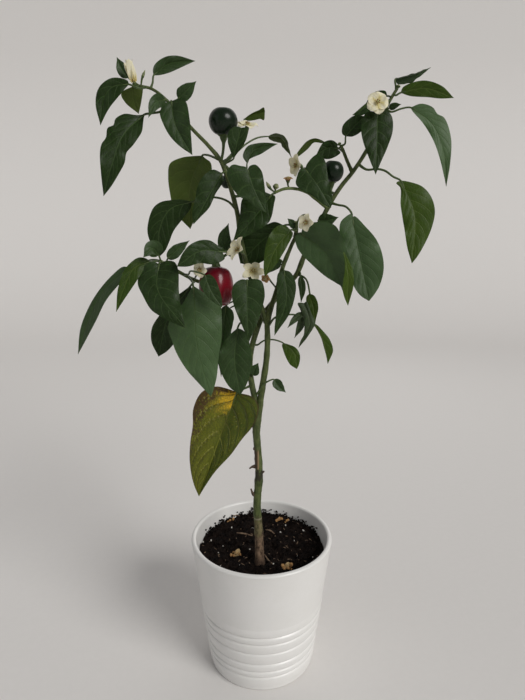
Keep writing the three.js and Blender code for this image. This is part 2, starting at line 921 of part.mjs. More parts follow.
function addSoil() {
  const bottom = FLOOR + GAP;
  const points = [new THREE.Vector3(0, 0, soilHeight(0, 0)), new THREE.Vector3(0, 0, bottom)];
  const ringAt = (reach, low) => {
    for (let j = 0; j < SOIL_SECTORS; j++) {
      const angle = (2 * Math.PI * j) / SOIL_SECTORS;
      const level = SOIL_LEVEL - SOIL_RISE;
      const radius = (low ? innerRadius(bottom) : innerRadius(level)) - GAP - 0.2;
      const x = reach * radius * Math.cos(angle);
      const y = reach * radius * Math.sin(angle);
      points.push(new THREE.Vector3(x, y, low ? bottom : soilHeight(x, y)));
    }
  };
  SOIL_RINGS.forEach((reach) => ringAt(reach, false));
  ringAt(1, true);
  const triangles = [];
  const rings = SOIL_RINGS.length + 1;
  for (let j = 0; j < SOIL_SECTORS; j++) {
    const next = (j + 1) % SOIL_SECTORS;
    triangles.push(0, 2 + j, 2 + next);
    for (let i = 0; i < rings - 1; i++) {
      const a = 2 + i * SOIL_SECTORS + j;
      const b = 2 + i * SOIL_SECTORS + next;
      triangles.push(a, a + SOIL_SECTORS, b + SOIL_SECTORS, a, b + SOIL_SECTORS, b);
    }
    const last = 2 + (rings - 1) * SOIL_SECTORS;
    triangles.push(1, last + next, last + j);
  }
  const foot = seen([TRUNK_X, TRUNK_UP, TRUNK_Y]);
  const wide = TRUNK_RADIUS + HOLE_CLEAR;
  const deep = 2 * (SOIL_LEVEL - HOLE_FLOOR);
  const hole = new THREE.CylinderGeometry(wide, wide, deep, HOLE_SIDES);
  hole.rotateX(Math.PI / 2);
  hole.translate(foot.x, foot.y, SOIL_LEVEL);
  const solid = solidOf(closedGeometry(points, triangles)).subtract(solidOf(hole));
  place(plant, "soil", geometryOf(solid), BLACK_SOIL, new THREE.Vector3(0, 0, bottom));
}

// A bloom is one star-shaped sheet: petals that join round the middle, with its axis along face.
function bloomGeometry(at, face, radius, close) {
  const axis = face.clone().normalize();
  const aside = new THREE.Vector3(0.1, 0, 1).cross(axis).normalize();
  const count = PETALS * PETAL_POINTS;
  const point = (reach, angle, rise) => {
    const out = aside.clone().applyAxisAngle(axis, angle);
    const bend = close * DEGREE * (1 - 0.3 * reach);
    return at
      .clone()
      .addScaledVector(out, reach * radius * Math.cos(bend))
      .addScaledVector(axis, reach * radius * Math.sin(bend) + rise);
  };
  const points = [];
  for (const rise of [BLADE, 0]) {
    points.push(point(0, 0, rise ? rise + 2 : 0));
    for (let k = 0; k < count; k++) {
      const angle = (2 * Math.PI * k) / count;
      const petal = Math.abs(Math.cos((PETALS / 2) * angle));
      points.push(point(PETAL_NOTCH + (1 - PETAL_NOTCH) * petal ** 0.8, angle, rise));
    }
  }
  const low = 1 + count;
  const triangles = [];
  for (let k = 0; k < count; k++) {
    const a = 1 + k;
    const b = 1 + ((k + 1) % count);
    triangles.push(0, a, b, low, b + low, a + low);
    triangles.push(a, a + low, b + low, a, b + low, b);
  }
  return geometryOf(solidOf(closedGeometry(points, triangles)));
}

function fruitGeometry({ at, hang, width, length }) {
  const profile = [];
  for (let i = 0; i <= FRUIT_RINGS; i++) {
    const angle = (Math.PI * i) / FRUIT_RINGS - Math.PI / 2;
    const round = Math.max(0, Math.cos(angle)) ** 0.85;
    profile.push(new THREE.Vector2((width / 2) * round, (length / 2) * Math.sin(angle)));
  }
  profile[0].x = 0;
  profile[FRUIT_RINGS].x = 0;
  const geometry = new THREE.LatheGeometry(profile, FRUIT_SIDES);
  const axis = new THREE.Vector3(...hang).normalize();
  const lathed = new THREE.Vector3(0, 1, 0);
  geometry.applyQuaternion(new THREE.Quaternion().setFromUnitVectors(lathed, axis));
  const centre = seen(at);
  geometry.translate(centre.x, centre.y, centre.z);
  return geometryOf(solidOf(geometry));
}

function addStem() {
  const parts = [];
  for (const { curve, radii, sides, steps } of stemCurves) {
    parts.push(tube(curve.points, radii, sides, steps));
  }
  for (const path of STUBS) parts.push(tube(path.map(seen), [1.1, 1, 0.7], 4, 2));
  for (const { path, radius } of BUDS) {
    parts.push(tube(path.map(seen), [0.7, 0.7, radius, radius, radius * 0.4], 5, 4));
  }
  for (const leaf of SMALL_LEAVES) parts.push(...leafParts(leaf, seen(leaf.from)));
  for (const { at, face, stalk } of BLOOMS) {
    const axis = new THREE.Vector3(...face).normalize();
    const end = seen(at).addScaledVector(axis, -GAP);
    parts.push(calyxTube(stalk.map(seen), end, axis, 0.8, 1.5));
  }
  for (const { at, hang, length, width, stalk } of FRUITS) {
    const axis = new THREE.Vector3(...hang).normalize();
    const end = seen(at).addScaledVector(axis, -length / 2 - GAP);
    parts.push(calyxTube(stalk.map(seen), end, axis, 1.3, width * 0.14));
  }
  place(plant, "stem", fused(parts), GREEN_BARK, seen([TRUNK_X, TRUNK_UP, TRUNK_Y]));
}

function leafMaterial({ yellow, pale, bright }) {
  if (yellow) return YELLOW_LEAF;
  if (pale) return PALE_LEAF;
  return bright ? BRIGHT_LEAF : DARK_LEAF;
}

function addLeaves() {
  for (const leaf of LEAVES) {
    const base = seen(leaf.rib[0]);
    const first = leaf.stalk ? seen(leaf.stalk[0]) : base;
    const start = stalkStart(leaf.from ? seen(leaf.from) : first, first, leaf.clear);
    const parts = leafParts(leaf, start);
    if (leaf.second) parts.push(sheet(bladeRows(leaf.second, SMALL_STATIONS), BLADE));
    place(plant, leaf.name, fused(parts), leafMaterial(leaf), base);
  }
}

function addWiltedTuft() {
  const parts = WILTED_BLADES.map((blade) => sheet(bladeRows(blade, LEAF_STATIONS), BLADE));
  const path = WILTED_STALK.map(seen);
  path[0] = stalkStart(path[0], path[1]);
  parts.push(tube(path, [STALK, STALK, THIN_STALK], 4, 5));
  parts.push(tube(WILTED_NECK.map(seen), [STALK, STALK], 4, 2));
  place(plant, "leaf_tuft_wilted", fused(parts), PALE_LEAF, path[path.length - 1]);
}

function addBlooms() {
  for (const { name, at, face, radius, close, withered } of BLOOMS) {
    const centre = seen(at);
    const geometry = bloomGeometry(centre, new THREE.Vector3(...face), radius, close);
    place(plant, name, geometry, withered ? BROWN_PETAL : CREAM_PETAL, centre);
  }
  for (const { name, x, y, radius } of FALLEN) {
    const centre = new THREE.Vector3(x, y, soilHeight(x, y) + FALLEN_LIFT);
    const geometry = bloomGeometry(centre, FALLEN_FACE, radius, FALLEN_CLOSE);
    place(plant, name, geometry, BROWN_PETAL, centre);
  }
}

function addFruits() {
  for (const fruit of FRUITS) {
    const skin = fruit.red ? RED_SKIN : GREEN_SKIN;
    place(plant, fruit.name, fruitGeometry(fruit), skin, seen(fruit.at));
  }
}

addPot();
addSoil();
addStem();
addLeaves();
addWiltedTuft();
addBlooms();
addFruits();

export default plant;
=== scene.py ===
"""A potted chilli pepper plant: the looks of every piece, around the fixed frame of its solids.

Lengths are worked out in millimetres and turned into metres where a mesh is made. Places on the plant
are written as they look from the eye, as in the part's source: see seen().
"""
import math
import random

import bmesh
import bpy
import numpy as np
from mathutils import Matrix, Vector, noise


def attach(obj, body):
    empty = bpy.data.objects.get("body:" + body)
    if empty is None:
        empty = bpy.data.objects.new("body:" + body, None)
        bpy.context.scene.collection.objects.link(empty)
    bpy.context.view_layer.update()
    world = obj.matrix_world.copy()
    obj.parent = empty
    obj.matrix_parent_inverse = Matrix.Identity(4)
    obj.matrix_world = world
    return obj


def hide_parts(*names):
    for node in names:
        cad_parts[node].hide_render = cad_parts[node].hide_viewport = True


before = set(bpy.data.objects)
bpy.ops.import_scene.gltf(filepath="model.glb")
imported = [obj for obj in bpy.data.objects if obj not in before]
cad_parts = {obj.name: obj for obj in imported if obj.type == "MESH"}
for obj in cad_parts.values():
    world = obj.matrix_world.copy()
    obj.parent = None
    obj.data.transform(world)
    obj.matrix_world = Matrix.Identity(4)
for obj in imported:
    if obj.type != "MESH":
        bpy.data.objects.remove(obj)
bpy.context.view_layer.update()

MM = 0.001
DEGREE = math.pi / 180
FULL_TURN = 2 * math.pi
BODY = "root"

# The eye, which is where the camera stands, and its lens
EYE = np.array([0.9, -478.0, 428.0])
EYE_TILT = 77.75
EYE_LENS = 27.05
FILM_WIDTH = 36

# Light: the wall that the eye sees, the dimmer room that the surfaces see, and the lamps, in metres
BACKDROP = (0.45, 0.435, 0.42)
AMBIENT = (0.21, 0.21, 0.215)
KEY_FROM = (1.0, -0.95, 1.15)
KEY_ANGLE = 30
KEY_ENERGY = 1.95
KEY_COLOUR = (1.0, 0.985, 0.96)
LAMPS = [("fill light", (-0.9, -0.5, 0.7), 0.9, 0.7, (0.95, 0.98, 1.0)),
         ("back light", (0.3, 1.1, 1.0), 0.9, 1.5, (1.0, 1.0, 1.0))]
AIM = (0, 0, 0.3)

# The floor runs level under the plant and sweeps up far behind it, in metres
FLOOR_REACH = 7.0
SWEEP_START = 1.6
SWEEP_RADIUS = 1.6

# Pot
POT_HEIGHT = 136
RIM_RADIUS = 70
FOOT_RADIUS = 53
WALL = 4.6
LIP = 2.4
FLOOR = 6
BANDS_LOW = 4.0
BANDS_HIGH = 74.0
GROOVES = [16, 23, 32, 45, 56, 64]
GROOVE_DEPTH = 1.1
GROOVE_WIDTH = 0.9
BAND_BULGE = 0.55
POT_SIDES = 160
POT_STEP = 0.55
FOOT_BEVEL = [(1.8, 0), (1.0, 0.25), (0.3, 0.9)]
LIP_STEPS = 13
INSIDE_STEPS = 24

# Soil
SOIL_LEVEL = 118
SOIL_RISE = 5
SOIL_CRUMB = 1.3
SOIL_FOOT = FLOOR + 0.3
SOIL_GAP = 0.3
SOIL_RINGS = 64
SOIL_SIDES = 180
SOIL_SEED = 11
CRUMBS = 1500
WALL_CRUMBS = 220
SPLINTERS = 90
CRUMB_SIZES = (0.3, 1.5)
WALL_CRUMB_SIZES = (0.3, 1.1)
WALL_CRUMB_CLIMB = 3.0
PERLITE_SIZES = (0.55, 1.2)
SPLINTER_LENGTHS = (1.5, 5)
SPLINTER_RADII = (0.25, 0.6)
TWIG_RADII = [0.5, 0.85, 0.7, 0.4]

# Things on the soil, across and up as the eye sees them. The tan scraps by the back wall have a size too.
PERLITE = [(-44, 116), (-42, 101), (-22, 102), (-59, 125), (-51, 126), (-39, 121), (19, 134), (42, 136),
           (24, 143), (-9, 139), (36, 112), (52, 111), (12, 103), (-30, 140), (33, 126), (-12, 118)]
TAN_LUMPS = [(18, 148, 1.8), (14, 147, 1.3), (-27, 146, 1.5), (-32, 145, 1.2), (25, 146, 1.2)]
TWIGS = [[(-25, 133.5), (-17, 132.5), (-9, 132)], [(4, 137), (9, 135), (13, 133)],
         [(11, 102), (7, 107), (3, 112)], [(-30, 150), (-26, 152), (-22, 151)]]

# Leaves. A leaf is widest where its rise and fall balance, and a tone runs from deep to light: partly the
# leaf's own green, partly painted sheen on the lighter leaves.
BLADE = 0.36
RIB_STEPS = 44
HALF_STEPS = 10
LEAF_RISE = 0.6
LEAF_FALL = 1.2
TIP_HALF = 0.45
LOBE_START = 0.12
LOBE_END = 0.35
WAVES = 3
VEIN_SPACING = 9.0
FEWEST_VEINS = 4
MOST_VEINS = 9
VEIN_SLANT = 0.27
QUILT = 0.04
FOLD = 8
STALK = 0.95
THIN_STALK = 0.8
STALK_TAPER = (1.5, 1.05, 1, 0.95, 0.9, 0.6)
KEEL = 0.62
THIN_KEEL = 0.5
KEEL_DEPTH = 0.2
LARGE_LEAF = 22
LEAF_TONE = 0.3
SMALL_TONE = 0.35
FLAP_TONE = 0.55
WILTED_TONE = 0.4
WILTED_FORM = {"wave": 0.8, "curl": 0.25}
WILTED_STALK_RADII = [1.3, 0.9, 0.8, 0.75]
WILTED_NECK_RADII = [0.8, 0.8]

# Blooms
PETALS = 5
PETAL_STEPS = 12
PETAL_HALVES = 5
PETAL_HALF_THICKNESS = 0.12
ANTHERS = 5
ANTHER_RADII = [0.15, 0.6, 0.65, 0.2]
THREAD_RADII = [0.22, 0.22]
STYLE_RADII = [0.3, 0.22, 0.5]
CUP_RADII = [0.95, 0.75, 0.75, 0.8, 0.85, 1.5, 1.9]
FALLEN_FACE = (0.3, -0.3, 1)
FALLEN_LUMPS = 7
FALLEN_BREADTH = 0.35
FALLEN_FLARE = 0.3

# Stem. Swellings of the trunk: how high, how much and over what length. BRANCH_NODES are those of a
# branch, as shares of its length.
SWELLINGS = [(112, 0.9, 8), (150, 0.5, 3), (203, 0.55, 4), (224, 0.3, 4), (262, 0.7, 9)]
BRANCH_NODES = np.arange(0.14, 0.98, 0.17)
# Two branches that lie in shade get a lighter copy of the stem's green: painted light, as well as the paler
# green of young growth.
YOUNG_LIT_STEMS = ["low_left_branch", "bud_branch"]
TRUNK_SIDES = 24
BRANCH_SIDES = 14
TRUNK_FINENESS = 14
BRANCH_FINENESS = 8
STUB_RADII = [2.6, 1.6, 1.0, 0.7]

# Heights on the trunk between which the soil's stain, the bark and its last streaks end and the scar
# begins and ends, and the heights of its dark ring and of the pale one below it
STAIN_END = (120.0, 131.0)
BARK_END = (150.0, 161.0)
STREAKS_END = (168.0, 174.0)
SCAR_FOOT = (214.0, 217.0)
SCAR_TOP = (232.0, 236.0)
DARK_RING = 214.0
PALE_RING = 165.5
STREAK_SHAPE = (1.0, 1.0, 0.45)

# Fruits: how deep the lobes are and how rounded the ends, and the green cap, whose radii are shares of
# the fruit's width
RED_FORM = (0.05, 0.5)
DARK_FORM = (0.015, 0.95)
LOBES = 4
DIMPLE_DEPTH = 1.3
DIMPLE_REACH = 0.16
FRUIT_STALK_RADII = [1.4, 1.2, 1.15, 1.15, 1.25, 1.45]
CAP_TEETH = 5
TEETH_DEPTH = 0.09
CAP = [(0, 0.2), (0.12, -0.1), (0.19, -0.8), (0.22, -0.8), (0.2, -0.1), (0.16, 0.6), (0.09, 1.3), (0, 1.6)]


def seen(place):
    """The real place of one written as it looks from the eye: across, up and how far behind the axis."""
    across, up, depth = place
    reach = (depth - EYE[1]) / -EYE[1]
    return np.array([EYE[0] + (across - EYE[0]) * reach, depth, EYE[2] + (up - EYE[2]) * reach])


def seen_all(places):
    return np.array([seen(place) for place in places])


# Where everything grows, as in the part's source

def grown(width, rib, *margins, **traits):
    """The record of a leaf: its width, its rib from base to tip, and its margins where the eye sees them.

    Its traits may be: start and stalk, where its stalk leaves the stem and what it passes; fold or folds,
    how far its halves are folded up, and turn, how far it is turned about its rib, in degrees; notch and
    wave, the depth of its heart-shaped base and of its waves; slant, pairs and quilt, the lean, number and
    relief of its side veins; tone, how light its green is, partly painted sheen on the lighter leaves, and
    fading, painted sheen that lightens it towards its tip; kind, the name of its finish; and
    second and flap, one more blade on the same piece.
    """
    return {"width": width, "rib": rib, "margins": margins, **traits}


# Stems from their lower to their upper ends: path, radii and steps
STEMS = {
    "trunk": (
        [[-2, 59, -22], [-2, 82, -22], [-2, 104, -22], [-3, 140, -22], [-4.5, 166, -21.5],
         [-2.5, 200, -21], [-3.5, 222, -20], [-5, 245, -19], [-4, 262, -18]],
        [4.7, 4.7, 4.7, 4.1, 3.9, 3.7, 3.6, 3.4, 3.4, 3.5], 11),
    "right_arm": (
        [[-4, 258, -18], [-2, 270, -18], [1, 290, -17], [4, 310, -15], [5.5, 330, -13], [5, 353, -11]],
        [3.2, 2.9, 2.6, 2.5], 6),
    "left_arm": (
        [[-4, 256, -18], [-6, 275, -17], [-9, 290, -15], [-11, 305, -12], [-10, 322, -8], [-5, 341, -4],
         [1, 356, 0], [12, 371, 2], [22, 384, 2], [31, 393, 0], [38, 410, -1], [47, 431, -2],
         [55, 446, -2], [62, 459, -2], [70, 471, 0], [79, 482, 2], [90, 499, 5], [100, 519, 8],
         [107, 537, 10], [114, 549, 10]],
        [3, 2.8, 2.7, 2.5, 2.3, 2.2, 2.1, 1.9, 1.7, 1.5, 1.3], 24),
    "middle_stem": (
        [[5, 350, -11], [8, 362, -11], [14, 380, -12], [19, 400, -13], [26, 418, -14], [31, 430, -15],
         [31, 440, -14]],
        [2.5, 2.1, 1.8, 1.2], 7),
    "left_stem": (
        [[5, 350, -11], [0, 364, -8], [-8, 385, -4], [-14, 405, -2], [-19, 428, -2], [-21, 446, -4],
         [-26, 466, -7], [-31, 481, -9], [-35, 491, -10], [-45, 503, -12], [-60, 518, -14],
         [-75, 535, -16], [-91, 548, -18], [-103, 551, -19]],
        [2.5, 2.3, 2.2, 2.1, 2, 1.8, 1.5, 1.3, 1.1], 17),
    "low_left_branch": (
        [[-5, 378, -5], [-14, 381, 3], [-26, 382, 11], [-44, 385, 13], [-58, 388, 8], [-74, 396, 1],
         [-91, 406, -4]],
        [1.9, 1.8, 1.6, 1.5], 9),
    "bud_branch": (
        [[58, 452, -2], [47, 460, -6], [40, 465, -8], [30, 468, -9], [20, 468, -10], [12, 465, -10]],
        [1.5, 1.3, 1.2], 5),
    "side_shoot": (
        [[79, 481, 2], [74, 491, 3], [70, 500, 4], [68, 504, 4]],
        [1.5, 1.4, 1.2], 4),
}

# Dead stubs on the trunk
STUBS = [
    [[-5, 208, -20], [-9, 207.5, -21], [-12, 205.5, -22]],
    [[-6, 177, -21], [-8.5, 179, -22], [-10.5, 184, -23]],
    [[-2, 200, -21], [1, 201.5, -21], [2.6, 203, -21]],
    [[-6, 227, -20], [-7, 226.5, -21], [-7.5, 225, -21]],
]

# Flower buds at the ends of short stalks: path and radius
BUDS = [
    ([[114, 548, 10], [115, 552, 10]], 2.2),
    ([[12, 465, -10], [12.5, 470, -11], [15, 469, -12]], 2.6),
    ([[12, 465, -10], [8, 468, -11], [4, 474, -12]], 1.6),
    ([[31, 438, -14], [30, 441, -14]], 1.8),
    ([[68, 503, 4], [66, 506, 6]], 1.8),
    ([[-101, 551, -19], [-100, 556, -20], [-97, 563, -20]], 1.2),
]

# Small leaves, fused to the stem. Each rib runs from the base of the blade to its tip.
SMALL_LEAVES = [
    grown(10, [[-111, 557, -16], [-116, 564, -16], [-120, 573, -17]], start=[-103, 551, -19], fold=25),
    grown(11, [[-70, 541, -20], [-63, 547, -22], [-54.5, 554.5, -23]], start=[-75, 535, -16]),
    grown(10, [[-81, 540, -20], [-89, 538, -28], [-96, 526, -33]], start=[-77, 537, -16]),
    grown(
        12, [[6, 511, 16], [17, 509.5, 18], [26, 494, 18]],
        start=[-34, 490, -10], stalk=[[-24, 496, -2], [-13, 505, 6], [-3, 510, 12]], turn=55, tone=0.3,
        kind="pale"),
    grown(
        11, [[-15, 524.5, 7], [-6, 529, 7], [3, 531, 5]],
        [[-12, 527], [-7, 530], [-2, 532], [2, 534]],
        [[-11, 523.5], [-6, 524], [-1, 525], [2, 524]],
        start=[-33, 489, -10], stalk=[[-20, 503, -2], [-13, 512, 3], [-12, 520, 8]], fold=30, tone=0.35,
        kind="pale"),
    grown(14, [[-92, 411, -9], [-97, 417, -15], [-106, 409, -22]], start=[-90, 405, -4]),
    grown(10, [[-84, 408, -4], [-76, 415, -2], [-64, 424, 2]], start=[-86, 403, -3]),
    grown(
        12, [[-31, 413, 4], [-33, 426, 2], [-29, 439, -2]],
        start=[-18, 420, -2], stalk=[[-26, 410, 2]]),
    grown(8, [[17, 407, -12], [11, 401, -9], [6, 395, -7]], start=[20, 403, -13]),
    grown(
        15, [[-32, 366, 0], [-37, 330, -4], [-38, 298, -6]],
        start=[-4, 376, -6], stalk=[[-18, 372, -2]]),
    grown(10, [[-29, 363, 6], [-31, 350, 8], [-31, 333, 8]], start=[-4, 374, -6], stalk=[[-18, 368, 0]]),
    grown(12, [[50, 441, -9], [58, 441.5, -11], [68, 444, -14]], start=[54, 444, -2], fold=20),
    grown(
        7, [[54.5, 506, 21], [47, 508.5, 23], [39.5, 505, 24], [32.5, 498, 23], [28.5, 492.5, 22]],
        [[52.5, 507.5], [46, 509.5], [39.5, 507.5], [34, 502], [30, 496.5]],
        [[52.5, 505.5], [45, 506], [40, 501], [33, 495.5]],
        start=[70, 499, 4], stalk=[[65, 502, 13], [59, 505, 18]], tone=0.3, kind="pale"),
    grown(12, [[112, 556, 13], [126, 559, 17], [141, 565, 20]], start=[113, 549, 10], fold=25, turn=55),
    grown(5, [[108, 533.5, 4], [113, 535.5, 0], [118, 536.5, -4]], start=[106, 533, 10]),
    grown(6, [[35, 392, -4], [37, 381, -6], [36, 368, -6]], start=[34, 396, 0], stalk=[[35, 395, -3]]),
    grown(
        9, [[12, 296, -22], [16, 290, -23], [23, 283, -24]],
        start=[-6, 279, -17], stalk=[[2, 291, -22], [8, 295, -22]], fold=25),
    grown(9, [[-8.5, 300, -17], [-6, 306, -19], [-3, 312, -20]], start=[-10, 297, -13]),
    grown(6, [[30, 435, -13], [27, 439, -12], [23, 443, -11]], start=[29, 427, -14]),
]
